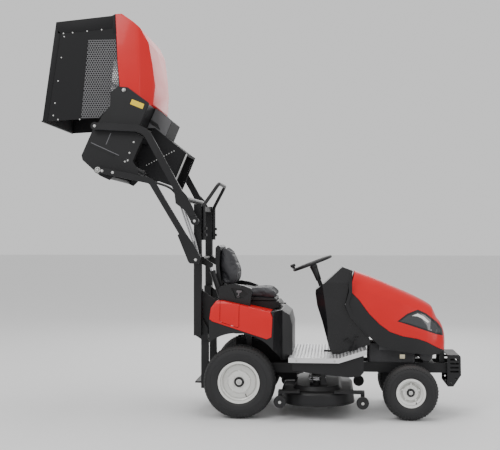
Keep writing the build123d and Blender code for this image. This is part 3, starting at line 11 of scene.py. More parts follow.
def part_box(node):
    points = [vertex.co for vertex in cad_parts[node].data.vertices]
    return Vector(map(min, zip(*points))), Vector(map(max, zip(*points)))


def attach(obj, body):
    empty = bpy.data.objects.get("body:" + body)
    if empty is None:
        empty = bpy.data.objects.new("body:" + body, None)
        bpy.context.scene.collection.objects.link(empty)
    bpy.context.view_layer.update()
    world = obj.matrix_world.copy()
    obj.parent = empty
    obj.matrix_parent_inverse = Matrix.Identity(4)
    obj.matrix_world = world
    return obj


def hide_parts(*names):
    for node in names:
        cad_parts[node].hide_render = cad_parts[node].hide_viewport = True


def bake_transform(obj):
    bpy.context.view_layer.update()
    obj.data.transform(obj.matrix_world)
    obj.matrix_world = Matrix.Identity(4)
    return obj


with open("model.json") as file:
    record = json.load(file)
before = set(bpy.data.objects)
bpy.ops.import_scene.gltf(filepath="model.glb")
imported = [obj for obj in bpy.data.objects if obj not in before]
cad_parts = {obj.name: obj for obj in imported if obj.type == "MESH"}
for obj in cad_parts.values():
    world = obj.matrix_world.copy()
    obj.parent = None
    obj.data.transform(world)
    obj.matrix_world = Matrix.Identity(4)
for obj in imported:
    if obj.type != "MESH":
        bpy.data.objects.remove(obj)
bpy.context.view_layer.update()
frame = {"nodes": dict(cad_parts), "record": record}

bl_info = {
    "name": "Ride-on mower looks",
    "version": (1, 0, 0),
    "blender": (4, 5, 0),
    "location": "3D View > Sidebar > Mower",
    "description": "Builds the shells, tyres, seat, collector and finishes of a ride-on mower",
    "category": "Add Mesh",
}

# ---- places, taken from the frame ----
MM = 0.001
TYRE_LOW, TYRE_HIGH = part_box("rear_tyre_right")
AXLE_X = (TYRE_LOW.x + TYRE_HIGH.x) / 2
TURN = 2 * math.pi
QUARTER = math.pi / 2
EIGHTH = math.pi / 4
BOOLEAN_REACH = 700        # millimetres that a cutting block reaches to each side


def at(x, y, z):
    """Point from millimetres ahead of the rear axle, left of the middle and above the ground."""
    return Vector((AXLE_X + x * MM, y * MM, z * MM))


def middle(node):
    """Centre of a node's box."""
    low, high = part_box(node)
    return (low + high) / 2


# ---- settings ----
def mm(name, description, value, low=0.0, high=1000.0):
    """A length setting, given in millimetres."""
    return FloatProperty(name=name, description=description, default=value * MM, min=low * MM,
                         max=high * MM, unit="LENGTH", precision=4)


def tint(name, description, red, green, blue):
    """A colour setting."""
    return FloatVectorProperty(name=name, description=description, subtype="COLOR", size=3, min=0, max=1,
                               default=(red, green, blue))


class MowerSizes(bpy.types.PropertyGroup):
    """Sizes of the pieces that the looks add."""
    tread_depth: mm("Tread depth", "Height of the tyre lugs above the carcass", 5)
    rear_lugs: IntProperty(name="Rear lugs", description="Lugs round a rear tyre", default=66, min=12, max=90)
    front_lugs: IntProperty(name="Front lugs", description="Lugs round a front tyre", default=52, min=12,
                            max=90)
    panel_edge: mm("Panel rounding", "Rounding of moulded body panels", 14, 1, 40)
    hole_pitch: mm("Hole pitch", "Distance between holes of the perforated sheet", 20, 8, 60)
    hole: mm("Hole radius", "Radius of a hole in the perforated sheet", 7.0, 2, 20)
    stud_pitch: mm("Tread plate pitch", "Distance between the raised bars of the floor", 27, 10, 80)
    pad_swell: mm("Pad swell", "How far a seat pad may swell", 24, 5, 60)


class MowerColours(bpy.types.PropertyGroup):
    """Base colours of the finishes."""
    red: tint("Body red", "Glossy moulded panels", 0.60, 0.005, 0.007)
    black: tint("Frame black", "Powder coated steel", 0.007, 0.007, 0.008)
    plastic: tint("Black plastic", "Grained mouldings", 0.006, 0.006, 0.007)
    grey: tint("Console grey", "Grained grey mouldings", 0.07, 0.07, 0.075)
    rubber: tint("Rubber", "Tyres", 0.010, 0.010, 0.011)
    rim: tint("Rim grey", "Painted wheels", 0.66, 0.66, 0.66)
    plate: tint("Tread plate", "Chequered aluminium", 0.72, 0.72, 0.73)
    vinyl: tint("Seat vinyl", "Seat covering", 0.007, 0.007, 0.008)
    yellow: tint("Marking yellow", "Plain marking patch", 0.82, 0.58, 0.01)


def sizes():
    """The size settings in use."""
    return bpy.context.scene.mower_sizes


def colours():
    """The colour settings in use."""
    return bpy.context.scene.mower_colours


# ---- finishes ----
def finish(name, colour, roughness, metallic=0.0, coat=0.0, mottle=0.12, mottle_scale=6.0, grain=0.0,
           grain_scale=400.0, cells=False, dust=0.0, rough_spread=0.08, shine=0.5):
    """A finish with uneven colour, uneven gloss, a fine grain and a little dust on what faces up."""
    found = bpy.data.materials.get(name)
    if found:
        return found
    material = bpy.data.materials.new(name)
    material.use_nodes = True
    tree = material.node_tree
    new, link = tree.nodes.new, tree.links.new
    shader = tree.nodes["Principled BSDF"]
    shader.inputs["Metallic"].default_value = metallic
    shader.inputs["Specular IOR Level"].default_value = shine
    shader.inputs["Coat Weight"].default_value = coat
    shader.inputs["Coat Roughness"].default_value = 0.06
    place = new("ShaderNodeTexCoord")
    broad = new("ShaderNodeTexNoise")
    broad.inputs["Scale"].default_value = mottle_scale
    broad.inputs["Detail"].default_value = 5
    link(place.outputs["Object"], broad.inputs["Vector"])
    mix = new("ShaderNodeMix")
    mix.data_type = "RGBA"
    mix.inputs["A"].default_value = (*(c * (1 - mottle) for c in colour), 1)
    mix.inputs["B"].default_value = (*(min(1, c * (1 + mottle) + 0.002) for c in colour), 1)
    link(broad.outputs["Fac"], mix.inputs["Factor"])
    painted = mix.outputs["Result"]
    if dust:
        facing = new("ShaderNodeNewGeometry")
        split = new("ShaderNodeSeparateXYZ")
        link(facing.outputs["Normal"], split.inputs["Vector"])
        amount = new("ShaderNodeMapRange")
        amount.inputs["From Min"].default_value = 0.2
        amount.inputs["From Max"].default_value = 1.0
        amount.inputs["To Max"].default_value = dust
        link(split.outputs["Z"], amount.inputs["Value"])
        settled = new("ShaderNodeMix")
        settled.data_type = "RGBA"
        settled.inputs["B"].default_value = (0.30, 0.28, 0.25, 1)
        link(amount.outputs["Result"], settled.inputs["Factor"])
        link(painted, settled.inputs["A"])
        painted = settled.outputs["Result"]
    link(painted, shader.inputs["Base Color"])
    gloss = new("ShaderNodeMapRange")
    gloss.inputs["To Min"].default_value = max(0.03, roughness - rough_spread)
    gloss.inputs["To Max"].default_value = min(1.0, roughness + rough_spread)
    link(broad.outputs["Fac"], gloss.inputs["Value"])
    link(gloss.outputs["Result"], shader.inputs["Roughness"])
    if grain:
        fine = new("ShaderNodeTexVoronoi" if cells else "ShaderNodeTexNoise")
        fine.inputs["Scale"].default_value = grain_scale
        link(place.outputs["Object"], fine.inputs["Vector"])
        bump = new("ShaderNodeBump")
        bump.inputs["Strength"].default_value = grain
        bump.inputs["Distance"].default_value = 0.001
        link(fine.outputs["Distance" if cells else "Fac"], bump.inputs["Height"])
        link(bump.outputs["Normal"], shader.inputs["Normal"])
    return material


def gloss_red():
    return finish("gloss_red", colours().red, 0.33, coat=0.08, shine=0.3, mottle=0.05, grain=0.05,
                  grain_scale=160)


def powder_black():
    return finish("powder_black", colours().black, 0.42, mottle=0.25, grain=0.16, grain_scale=700, dust=0.03,
                  shine=0.35)


def moulded_black():
    return finish("moulded_black", colours().plastic, 0.40, mottle=0.2, grain=0.22, grain_scale=1100,
                  dust=0.02, shine=0.4)


def gloss_black():
    return finish("gloss_black", colours().plastic, 0.27, coat=0.15, mottle=0.1, grain=0.05, grain_scale=900,
                  shine=0.4)


def sheet_black():
    return finish("sheet_black", colours().black, 0.62, mottle=0.3, mottle_scale=3, grain=0.2,
                  grain_scale=500, shine=0.25)


def console_grey():
    return finish("console_grey", colours().grey, 0.48, mottle=0.15, grain=0.25, grain_scale=1000, dust=0.04)


def tyre_rubber():
    return finish("tyre_rubber", colours().rubber, 0.68, mottle=0.35, mottle_scale=9, grain=0.3,
                  grain_scale=300, dust=0.05)


def rim_paint():
    return finish("rim_paint", colours().rim, 0.3, metallic=0.55, mottle=0.06, grain=0.05, grain_scale=300,
                  coat=0.2)


def bright_plate():
    return finish("bright_plate", colours().plate, 0.34, metallic=0.9, mottle=0.12, mottle_scale=14,
                  grain=0.12, grain_scale=240)


def bright_steel():
    return finish("bright_steel", (0.62, 0.62, 0.64), 0.27, metallic=1.0, mottle=0.1, mottle_scale=30,
                  grain=0.05, grain_scale=500)


def zinc():
    return finish("zinc", (0.55, 0.55, 0.54), 0.42, metallic=0.85, mottle=0.15, mottle_scale=60, grain=0.1,
                  grain_scale=500)


def cast_grey():
    return finish("cast_grey", (0.055, 0.055, 0.058), 0.58, metallic=0.35, mottle=0.3, mottle_scale=12,
                  grain=0.5, grain_scale=260, dust=0.08)


def seat_vinyl():
    return finish("seat_vinyl", colours().vinyl, 0.36, mottle=0.2, grain=0.28, grain_scale=420, cells=True,
                  rough_spread=0.07)


# Grey of the perforated sheet, partly its own grey and partly painted light: it is made lighter to stand in
# for the bright light seen through its holes.
def perforated_grey_and_painted_light():
    return finish("perforated_grey_and_painted_light", (0.13, 0.13, 0.135), 0.5, mottle=0.15, grain=0.1, shine=0.35)


def smoked_lens():
    return finish("smoked_lens", (0.02, 0.022, 0.025), 0.08, coat=0.8, mottle=0.2, mottle_scale=20)


def marking_yellow():
    return finish("marking_yellow", colours().yellow, 0.4, mottle=0.05, grain=0.05)


def vent_grey():
    return finish("vent_grey", (0.10, 0.10, 0.105), 0.4, mottle=0.15, grain=0.1)


def cream():
    return finish("cream", (0.62, 0.56, 0.40), 0.45, mottle=0.1, grain=0.1)


def guard_grey():
    return finish("guard_grey", (0.42, 0.42, 0.43), 0.5, mottle=0.15, mottle_scale=40, grain=0.2)


NODE_FINISHES = {
    gloss_red: ["hood", "fenders", "container_cover"],
    powder_black: ["chassis_frame", "front_axle", "knuckle_right", "knuckle_left", "tie_rod", "mast",
                   "upper_arms", "lower_arm", "lift_barrels", "carrier_frame", "tip_ram_barrel", "deck_shell",
                   "deck_frame", "deck_lift", "front_guard", "steering_column", "floor_supports",
                   "drive_pedal", "brake_pedal", "seat_base"],
    sheet_black: ["duct", "container_walls", "discharge_tunnel"],
    gloss_black: ["dash_cowl", "consoles"],
    moulded_black: ["wheel_arches", "hood_sides", "seat_shell", "steering_wheel",
                    "spinner_knob", "fuel_tank", "gauge_wheel_rear_right", "gauge_wheel_rear_left",
                    "gauge_wheel_front_right", "gauge_wheel_front_left"],
    console_grey: ["collector_lever", "height_lever"],
    tyre_rubber: ["rear_tyre_right", "rear_tyre_left", "front_tyre_right", "front_tyre_left"],
    rim_paint: ["rear_rim_right", "rear_rim_left", "front_rim_right", "front_rim_left"],
    bright_plate: ["footboard"],
    bright_steel: ["lift_rods", "tip_ram_rod", "blade_right", "blade_left"],
    cast_grey: ["engine", "transaxle"],
    seat_vinyl: ["seat_cushion", "seat_back"],
    perforated_grey_and_painted_light: ["side_meshes"],
    smoked_lens: ["headlamps"],
    guard_grey: ["hoses"],
}
FINISH_OF = {node: made for made, nodes in NODE_FINISHES.items() for node in nodes}
BODY_OF = {node: body for body, nodes in frame["record"]["behaviour"]["bodies"].items() for node in nodes}


# ---- shaping helpers ----
def keep(bm, name, body, material, crease=35.0):
    """Turns a bmesh into a piece that rides on a body, with smooth faces and sharp creases."""
    mesh = bpy.data.meshes.new(name)
    bm.to_mesh(mesh)
    bm.free()
    mesh.materials.append(material)
    mesh.polygons.foreach_set("use_smooth", [True] * len(mesh.polygons))
    mesh.set_sharp_from_angle(angle=math.radians(crease))
    piece = bpy.data.objects.new(name, mesh)
    bpy.context.scene.collection.objects.link(piece)
    if body:
        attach(piece, body)
    return piece


def bake(piece, crease=35.0):
    """Applies a piece's modifiers to its mesh."""
    bpy.context.view_layer.update()
    graph = bpy.context.evaluated_depsgraph_get()
    mesh = bpy.data.meshes.new_from_object(piece.evaluated_get(graph))
    piece.modifiers.clear()
    piece.data = mesh
    if crease:
        mesh.polygons.foreach_set("use_smooth", [True] * len(mesh.polygons))
        mesh.set_sharp_from_angle(angle=math.radians(crease))
    return piece


def pulled(bm, corners, along):
    """Solid made by pulling a flat face with the given corners along a vector."""
    face = bm.faces.new([bm.verts.new(corner) for corner in corners])
    grown = bmesh.ops.extrude_face_region(bm, geom=[face])
    moved = [e for e in grown["geom"] if isinstance(e, bmesh.types.BMVert)]
    bmesh.ops.translate(bm, vec=along, verts=moved)
    bmesh.ops.recalc_face_normals(bm, faces=bm.faces[:])


def slab(bm, outline, y_from, y_to):
    """Flat plate with a side view outline, between two distances from the centre."""
    pulled(bm, [at(x, y_from, z) for x, z in outline], (0, (y_to - y_from) * MM, 0))


def thickened(piece, wall, crease=35.0):
    """Gives a skin a wall on its inner side."""
    thick = piece.modifiers.new("wall", "SOLIDIFY")
    thick.thickness = wall
    thick.offset = -1
    return bake(piece, crease)


def rounded(bm, offset, segments=3, above=20.0):
    """Rounds every edge sharper than an angle."""
    edges = [e for e in bm.edges if len(e.link_faces) == 2 and e.calc_face_angle(0) > math.radians(above)]
    bmesh.ops.bevel(bm, geom=edges, offset=offset, segments=segments, profile=0.5, affect="EDGES",
                    material=-1, clamp_overlap=True)


def combined(piece, operation, cutter, tangled=False):
    """Cuts, joins or crosses a piece with another one, which is used up."""
    change = piece.modifiers.new("combine", "BOOLEAN")
    change.operation = operation
    change.solver = "EXACT"
    change.use_self = tangled
    change.use_hole_tolerant = tangled
    change.object = cutter
    bake(piece)
    bpy.data.objects.remove(cutter)
    return piece


def cutter(outline):
    """Block with a side view outline, used to cut another piece."""
    bm = bmesh.new()
    slab(bm, outline, -BOOLEAN_REACH, BOOLEAN_REACH)
    return keep(bm, "cutter", None, None)


def softened(node, offset, segments=2):
    """Copy of a node with its flat faces joined up and its edges rounded, which stands for the node."""
    bm = bmesh.new()
    bm.from_mesh(frame["nodes"][node].data)
    bmesh.ops.remove_doubles(bm, verts=bm.verts[:], dist=0.00002)
    bmesh.ops.dissolve_limit(bm, angle_limit=math.radians(0.6), verts=bm.verts[:], edges=bm.edges[:],
                             use_dissolve_boundaries=False, delimit={"NORMAL"})
    piece = keep(bm, node + "_finished", BODY_OF[node], FINISH_OF[node](), crease=180)
    edge = piece.modifiers.new("edges", "BEVEL")
    edge.width = offset
    edge.segments = segments
    edge.limit_method = "ANGLE"
    edge.angle_limit = math.radians(35)
    edge.use_clamp_overlap = True
    even = piece.modifiers.new("even", "WEIGHTED_NORMAL")
    even.keep_sharp = False
    even.weight = 80
    bake(piece, crease=None)
    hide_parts(node)
    return piece


def bolts(name, body, spots, r, turn=QUARTER):
    """Hexagon heads of a radius on washers, at points, facing along Z turned about X."""
    bm = bmesh.new()
    for i, spot in enumerate(spots):
        base = Matrix.Translation(spot) @ Matrix.Rotation(turn, 4, "X")
        bmesh.ops.create_cone(bm, cap_ends=True, segments=16, radius1=r * 1.35, radius2=r * 1.3,
                              depth=r * 0.3, matrix=base @ Matrix.Translation((0, 0, r * 0.15)))
        spin = Matrix.Rotation(0.7 * i, 4, "Z")
        bmesh.ops.create_cone(bm, cap_ends=True, segments=6, radius1=r, radius2=r, depth=r * 0.6,
                              matrix=base @ Matrix.Translation((0, 0, r * 0.6)) @ spin)
        bmesh.ops.create_cone(bm, cap_ends=True, segments=12, radius1=r * 0.82, radius2=r * 0.5,
                              depth=r * 0.18, matrix=base @ Matrix.Translation((0, 0, r * 0.99)))
    keep(bm, name, body, zinc())


def rivets(name, body, spots, radius):
    """Low domed heads at points, facing sideways."""
    bm = bmesh.new()
    for spot in spots:
        base = Matrix.Translation(spot) @ Matrix.Rotation(QUARTER, 4, "X")
        bmesh.ops.create_uvsphere(bm, u_segments=12, v_segments=6, radius=radius,
                                  matrix=base @ Matrix.Diagonal((1, 1, 0.36, 1)))
    keep(bm, name, body, zinc())


def turned(bm, profile, centre, steps=96):
    """Shape turned about a wheel's axle; the profile is (distance across, radius) from the centre."""
    verts = [bm.verts.new(centre + Vector((0, a * MM, r * MM))) for a, r in profile]
    edges = [bm.edges.new(pair) for pair in zip(verts, verts[1:])]
    if profile[0] != profile[-1] and profile[0][1] > 1:
        edges.append(bm.edges.new((verts[-1], verts[0])))
    bmesh.ops.spin(bm, geom=verts + edges, cent=centre, axis=(0, 1, 0), dvec=(0, 0, 0), angle=TURN,
                   steps=steps, use_merge=True)
    bmesh.ops.remove_doubles(bm, verts=bm.verts[:], dist=0.00001)
    bmesh.ops.recalc_face_normals(bm, faces=bm.faces[:])


def line(name, points, radius, body, material, cyclic=False, mesh=False):
    """Round bar or bead along a smooth curve through points."""
    curve = bpy.data.curves.new(name, "CURVE")
    curve.dimensions = "3D"
    curve.bevel_depth = radius
    curve.bevel_resolution = 4
    curve.use_fill_caps = True
    spline = curve.splines.new("NURBS")
    spline.points.add(len(points) - 1)
    for point, place in zip(spline.points, points):
        point.co = (*place, 1)
    spline.order_u = 3
    spline.use_endpoint_u = not cyclic
    spline.use_cyclic_u = cyclic
    curve.materials.append(material)
    piece = bpy.data.objects.new(name, curve)
    bpy.context.scene.collection.objects.link(piece)
    if mesh:
        bpy.context.view_layer.update()
        graph = bpy.context.evaluated_depsgraph_get()
        solid = bpy.data.objects.new(name, bpy.data.meshes.new_from_object(piece.evaluated_get(graph)))
        bpy.data.objects.remove(piece)
        bpy.context.scene.collection.objects.link(solid)
        solid.name = name
        piece = solid
        piece.data.polygons.foreach_set("use_smooth", [True] * len(piece.data.polygons))
    if body:
        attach(piece, body)
    return piece


# ---- stage ----
CAMERA_SPOT = (732.7, -7551.5, 1441.7)    # millimetres from the rear axle
CAMERA_TURN = 5.2                          # degrees towards the back of the machine
CAMERA_TILT = 0.70                         # degrees up
CAMERA_LENS = 64.8


def area_light(name, spot, size, power, target=(0, 0, 1.4)):
    """Soft square light that faces a target."""
    data = bpy.data.lights.new(name, "AREA")
    data.size = size
    data.energy = power
    lamp = bpy.data.objects.new(name, data)
    lamp.location = spot
    lamp.rotation_mode = "QUATERNION"
    lamp.rotation_quaternion = (Vector(target) - Vector(spot)).to_track_quat("-Z", "Y")
    bpy.context.scene.collection.objects.link(lamp)


class MOWER_OT_stage(bpy.types.Operator):
    """Camera, soft lights and a plain pale floor"""
    bl_idname = "mower.stage"
    bl_label = "Stage"

    def execute(self, context):
        data = bpy.data.cameras.new("camera")
        data.lens = CAMERA_LENS
        data.sensor_width = 36.0
        data.clip_end = 200
        camera = bpy.data.objects.new("camera", data)
        camera.location = at(*CAMERA_SPOT)
        camera.rotation_euler = (math.radians(90 + CAMERA_TILT), 0, math.radians(CAMERA_TURN))
        context.scene.collection.objects.link(camera)
        context.scene.camera = camera
        world = bpy.data.worlds.new("studio")
        world.use_nodes = True
        world.node_tree.nodes["Background"].inputs["Color"].default_value = (1, 1, 1, 1)
        world.node_tree.nodes["Background"].inputs["Strength"].default_value = 0.85
        context.scene.world = world
        area_light("key", (-3.5, -6.0, 6.5), 3.5, 230)
        area_light("fill", (5.5, -5.0, 3.0), 3.0, 90)
        area_light("top", (0.0, 0.5, 7.5), 4.0, 180)
        area_light("back", (0.5, 6.0, 4.0), 4.0, 90)
        bm = bmesh.new()
        bmesh.ops.create_grid(bm, x_segments=1, y_segments=1, size=60)
        floor = keep(bm, "floor", None, finish("studio_floor", (0.80, 0.80, 0.80), 0.7, mottle=0.01))
        return {"FINISHED"}


# ---- finishes of the frame's own nodes ----
class MOWER_OT_finishes(bpy.types.Operator):
    """Finish of every node of the frame"""
    bl_idname = "mower.finishes"
    bl_label = "Frame finishes"

    def execute(self, context):
        for node, piece in frame["nodes"].items():
            piece.data.materials.clear()
            piece.data.materials.append(FINISH_OF[node]())
        return {"FINISHED"}


# ---- wheels ----
# each row of lugs: share of the half width, length in millimetres, slant in radians, start in steps
LUG_ROWS = [(0.0, 19, 0.35, 0.0), (0.28, 22, 0.6, 0.5), (-0.28, 22, -0.6, 0.5)]
SHOULDER_LEAN, SHOULDER_SLANT = 0.62, 0.42


def tyre(node, radius, half, bead, lugs):
    """Turf tyre: rounded carcass with ribbed walls and rows of slanted lugs."""
    depth = sizes().tread_depth / MM
    centre = middle(node)
    base = radius - depth
    wall = (bead + base) / 2
    inner = half - 22
    side = [(inner - 14, bead), (inner, bead), (inner + 2, bead + 12), (half - 9, bead + 20),
            (half - 4, bead + 30), (half - 1, wall - 8), (half, wall), (half - 1, wall + 4),
            (half - 2.5, wall + 5), (half - 1.5, wall + 7), (half - 3, wall + 14), (half - 8, base - 26),
            (half - 18, base - 10), (half - 34, base - 2), (half * 0.4, base)]
    profile = [(-a, r) for a, r in side] + [(a, r) for a, r in side[::-1]]
    bm = bmesh.new()
    turned(bm, profile, centre)
    step = TURN / lugs
    for share, length, slant, start in LUG_ROWS:
        for i in range(lugs):
            place = Matrix.Translation(centre) @ Matrix.Rotation((i + start) * step, 4, "Y")
            place = place @ Matrix.Translation((0, share * half * MM, (base + depth * 0.35) * MM))
            place = place @ Matrix.Rotation(slant, 4, "Z") @ Matrix.Diagonal((0.42, 1, 1, 1))
            place = place @ Matrix.Rotation(EIGHTH, 4, "Z")
            bmesh.ops.create_cone(bm, cap_ends=True, segments=4, radius1=length * 0.72 * MM,
                                  radius2=length * 0.60 * MM, depth=depth * 1.3 * MM, matrix=place)
    for hand in (-1, 1):
        for i in range(lugs):
            place = Matrix.Translation(centre) @ Matrix.Rotation((i + 0.25) * step, 4, "Y")
            place = place @ Matrix.Translation((0, hand * (half - 22) * MM, (base - 14) * MM))
            place = place @ Matrix.Rotation(-hand * SHOULDER_LEAN, 4, "X")
            place = place @ Matrix.Rotation(hand * SHOULDER_SLANT, 4, "Z")
            place = place @ Matrix.Diagonal((0.36, 1, 1, 1)) @ Matrix.Rotation(EIGHTH, 4, "Z")
            bmesh.ops.create_cone(bm, cap_ends=True, segments=4, radius1=28 * MM, radius2=24 * MM,
                                  depth=(depth + 4) * MM, matrix=place)
    piece = keep(bm, node + "_treaded", BODY_OF[node], tyre_rubber(), crease=30)
    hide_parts(node)


def hub_cap(node, hand, face, radius, bolt):
    """Black cap, bright bolt and valve stem on the outside of a wheel."""
    body = BODY_OF[node]
    centre = middle(node)
    low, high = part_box("knuckle_right" if hand < 0 else "knuckle_left")
    spindle = (centre.y - low.y if hand < 0 else high.y - centre.y) if "front" in node else 0.0
    out = max(face * MM, spindle) + 0.0006
    flat = Matrix.Rotation(-hand * QUARTER, 4, "X")
    bm = bmesh.new()
    place = Matrix.Translation(centre + Vector((0, hand * (out + 0.004), 0))) @ flat
    bmesh.ops.create_cone(bm, cap_ends=True, segments=48, radius1=radius * MM, radius2=radius * 0.82 * MM,
                          depth=0.008, matrix=place)
    rounded(bm, 0.0015, 2, above=40)
    keep(bm, node + "_cap", body, gloss_black())
    bolts(node + "_bolt", body, [centre + Vector((0, hand * (out + 0.008), 0))], bolt * MM,
          -hand * QUARTER)
    ring = radius * 2.05 * MM
    bm = bmesh.new()
    for i in range(5):
        angle = TURN * i / 5 + 0.3
        spot = centre + Vector((ring * math.cos(angle), hand * (face - 7) * MM, ring * math.sin(angle)))
        bmesh.ops.create_uvsphere(bm, u_segments=16, v_segments=8, radius=9 * MM,
                                  matrix=Matrix.Translation(spot) @ Matrix.Diagonal((1, 0.25, 1, 1)))
    keep(bm, node + "_dimples", body, rim_paint())
    start = centre + Vector((ring * 0.62, hand * (face - 10) * MM, -ring * 1.15))
    line(node + "_valve", [start, start + Vector((2 * MM, hand * 14 * MM, -5 * MM)),
                           start + Vector((7 * MM, hand * 24 * MM, -14 * MM))], 4 * MM, body,
         moulded_black())


class MOWER_OT_wheels(bpy.types.Operator):
    """Treaded tyres and rim trims"""
    bl_idname = "mower.wheels"
    bl_label = "Wheels"

    def execute(self, context):
        for side in ("right", "left"):
            tyre("rear_tyre_" + side, 287.5, 107.5, 154, sizes().rear_lugs)
            tyre("front_tyre_" + side, 216.5, 85, 102, sizes().front_lugs)
        for hand, side in ((-1, "right"), (1, "left")):
            hub_cap("rear_rim_" + side, hand, 59.5, 41, 12)
            hub_cap("front_rim_" + side, hand, 37.5, 33, 9)
        return {"FINISHED"}


# ---- bonnet ----
# the lists run from the cowl to the nose: the crown line, the base line and half the width between them
CROWN = [(820, 1192), (930, 1152), (1080, 1096), (1242, 1026), (1400, 954), (1528, 884), (1558, 838),
         (1584, 780), (1616, 738), (1641, 668), (1648, 604), (1648, 560), (1646, 520), (1640, 480)]
BASE = [(x, 470) for x in (820, 930, 1080, 1242, 1380, 1450, 1475, 1495, 1510, 1522, 1532, 1540)]
BASE += [(1548, 466), (1556, 462)]
HALF = [258, 258, 258, 258, 256, 250, 246, 242, 238, 232, 226, 220, 214, 206]
HOOD_EDGE = [(884, 1010), (930, 1200), (1700, 1200), (1700, 520), (1640, 520), (1582, 545), (1487, 595),
             (1416, 619), (1295, 639), (1194, 674), (1113, 734), (1032, 815), (950, 927), (884, 993)]
TRIM_EDGE = [(884, 991), (948, 925), (1030, 813), (1112, 732), (1193, 672), (1294, 637), (1415, 617),
             (1486, 593), (1581, 543), (1640, 518), (1700, 516), (1700, 490), (1626, 500), (1536, 489),
             (1385, 503), (1234, 521), (1113, 560), (1032, 632), (889, 794), (848, 876), (874, 969)]
LAMP = [(1254, 756), (1336, 817), (1421, 849), (1487, 819), (1577, 748), (1622, 690), (1625, 640),
        (1560, 655), (1487, 681), (1336, 731)]
LAMP_GLASS = [(1276, 756), (1342, 804), (1418, 832), (1478, 806), (1560, 740), (1600, 690), (1606, 662),
              (1554, 670), (1484, 697), (1338, 744)]
# outline of a bright streak laid over the lens glass: a painted reflection
PAINTED_REFLECTION = [(1372, 800), (1420, 818), (1466, 796), (1512, 752), (1498, 744), (1452, 780), (1414, 796)]


def spread(points, share):
    """Point at a share of a list, along a smooth curve through it."""
    place = share * (len(points) - 1)
    i = min(int(place), len(points) - 2)
    t = place - i
    p = [Vector(points[max(0, min(len(points) - 1, k))]) for k in (i - 1, i, i + 1, i + 2)]
    return 0.5 * ((2 * p[1]) + (p[2] - p[0]) * t + (2 * p[0] - 5 * p[1] + 4 * p[2] - p[3]) * t ** 2
                  + (3 * p[1] - p[0] - 3 * p[2] + p[3]) * t ** 3)


def bonnet(name, material, inset=0.0, wall=4.0, along=72, around=56):
    """Smooth bonnet shell, from its crown line down to its base line on both sides."""
    bm = bmesh.new()
    bmesh.ops.create_grid(bm, x_segments=along, y_segments=around, size=1)
    for v in bm.verts:
        u = (v.co.x + 1) / 2
        s = v.co.y
        crown, base = spread(CROWN, u), spread(BASE, u)
        half = spread([(w, 0) for w in HALF], u).x
        lean = abs(s) * QUARTER
        drop = (1 - math.cos(lean)) ** 1.35
        side = math.copysign(math.sin(lean) ** 0.78, s)
        crease = 5 * math.exp(-((abs(s) - 0.5) / 0.045) ** 2)
        spot = crown.lerp(base, drop)
        v.co = at(spot.x, side * (half - inset) + math.copysign(crease, s), spot.y - inset * (1 - abs(s)))
    bmesh.ops.recalc_face_normals(bm, faces=bm.faces[:])
    top = max(bm.faces, key=lambda f: f.calc_center_median().z)
    if top.normal.z < 0:
        bmesh.ops.reverse_faces(bm, faces=bm.faces[:])
    return thickened(keep(bm, name, "hood", material, crease=50), wall * MM, crease=50)


class MOWER_OT_bonnet(bpy.types.Operator):
    """Red bonnet, black side trims, smoked lamps and a painted reflection streak on each lamp"""
    bl_idname = "mower.bonnet"
    bl_label = "Bonnet"

    def execute(self, context):
        hood = combined(bonnet("bonnet_red", gloss_red()), "INTERSECT", cutter(HOOD_EDGE))
        combined(hood, "DIFFERENCE", cutter(LAMP))
        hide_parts("hood")
        trim = combined(bonnet("bonnet_trim", moulded_black(), inset=1.5, wall=5), "INTERSECT",
                        cutter(TRIM_EDGE))
        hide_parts("hood_sides")
        lamp = combined(bonnet("lamp_lens", smoked_lens(), inset=2.0), "INTERSECT", cutter(LAMP))
        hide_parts("headlamps")
        surround = combined(bonnet("lamp_surround", moulded_black(), inset=0.6), "INTERSECT",
                            cutter(LAMP))
        combined(surround, "DIFFERENCE", cutter(LAMP_GLASS))
        # painted reflection: a bright silver streak set just in front of the lens glass
        combined(bonnet("lamp_painted_reflection", rim_paint(), inset=1.2), "INTERSECT", cutter(PAINTED_REFLECTION))
        return {"FINISHED"}


# ---- moulded body ----
# where a plan outline, a front outline and the space round the mast start, in millimetres, and how many
# metres they are pulled up or along
PLAN_FLOOR, PLAN_HEIGHT = 100, 3.4
FRONT_BACK, FRONT_LENGTH = -2000, 4.5
NOTCH_FLOOR, NOTCH_HEIGHT = 300, 0.9


def block(side, plan, front, round_by, segments=4):
    """Solid that fills a side, a plan and a front outline at once, with rounded edges."""
    bm = bmesh.new()
    slab(bm, side, -BOOLEAN_REACH, BOOLEAN_REACH)
    body = keep(bm, "block", None, None)
    if plan:
        bm = bmesh.new()
        pulled(bm, [at(x, y, PLAN_FLOOR) for x, y in plan], (0, 0, PLAN_HEIGHT))
        combined(body, "INTERSECT", keep(bm, "plan", None, None))
    if front:
        bm = bmesh.new()
        pulled(bm, [at(FRONT_BACK, y, z) for y, z in front], (FRONT_LENGTH, 0, 0))
        combined(body, "INTERSECT", keep(bm, "front", None, None))
    bm = bmesh.new()
    bm.from_mesh(body.data)
    bpy.data.objects.remove(body)
    bmesh.ops.dissolve_limit(bm, angle_limit=0.01, verts=bm.verts[:], edges=bm.edges[:],
                             use_dissolve_boundaries=False, delimit=set())
    rounded(bm, round_by * MM, segments, above=12)
    return bm


def shell(name, body, material, bm, wall):
    """Skin of a rounded solid with a wall inside it."""
    return thickened(keep(bm, name, body, material, crease=40), wall * MM, crease=40)


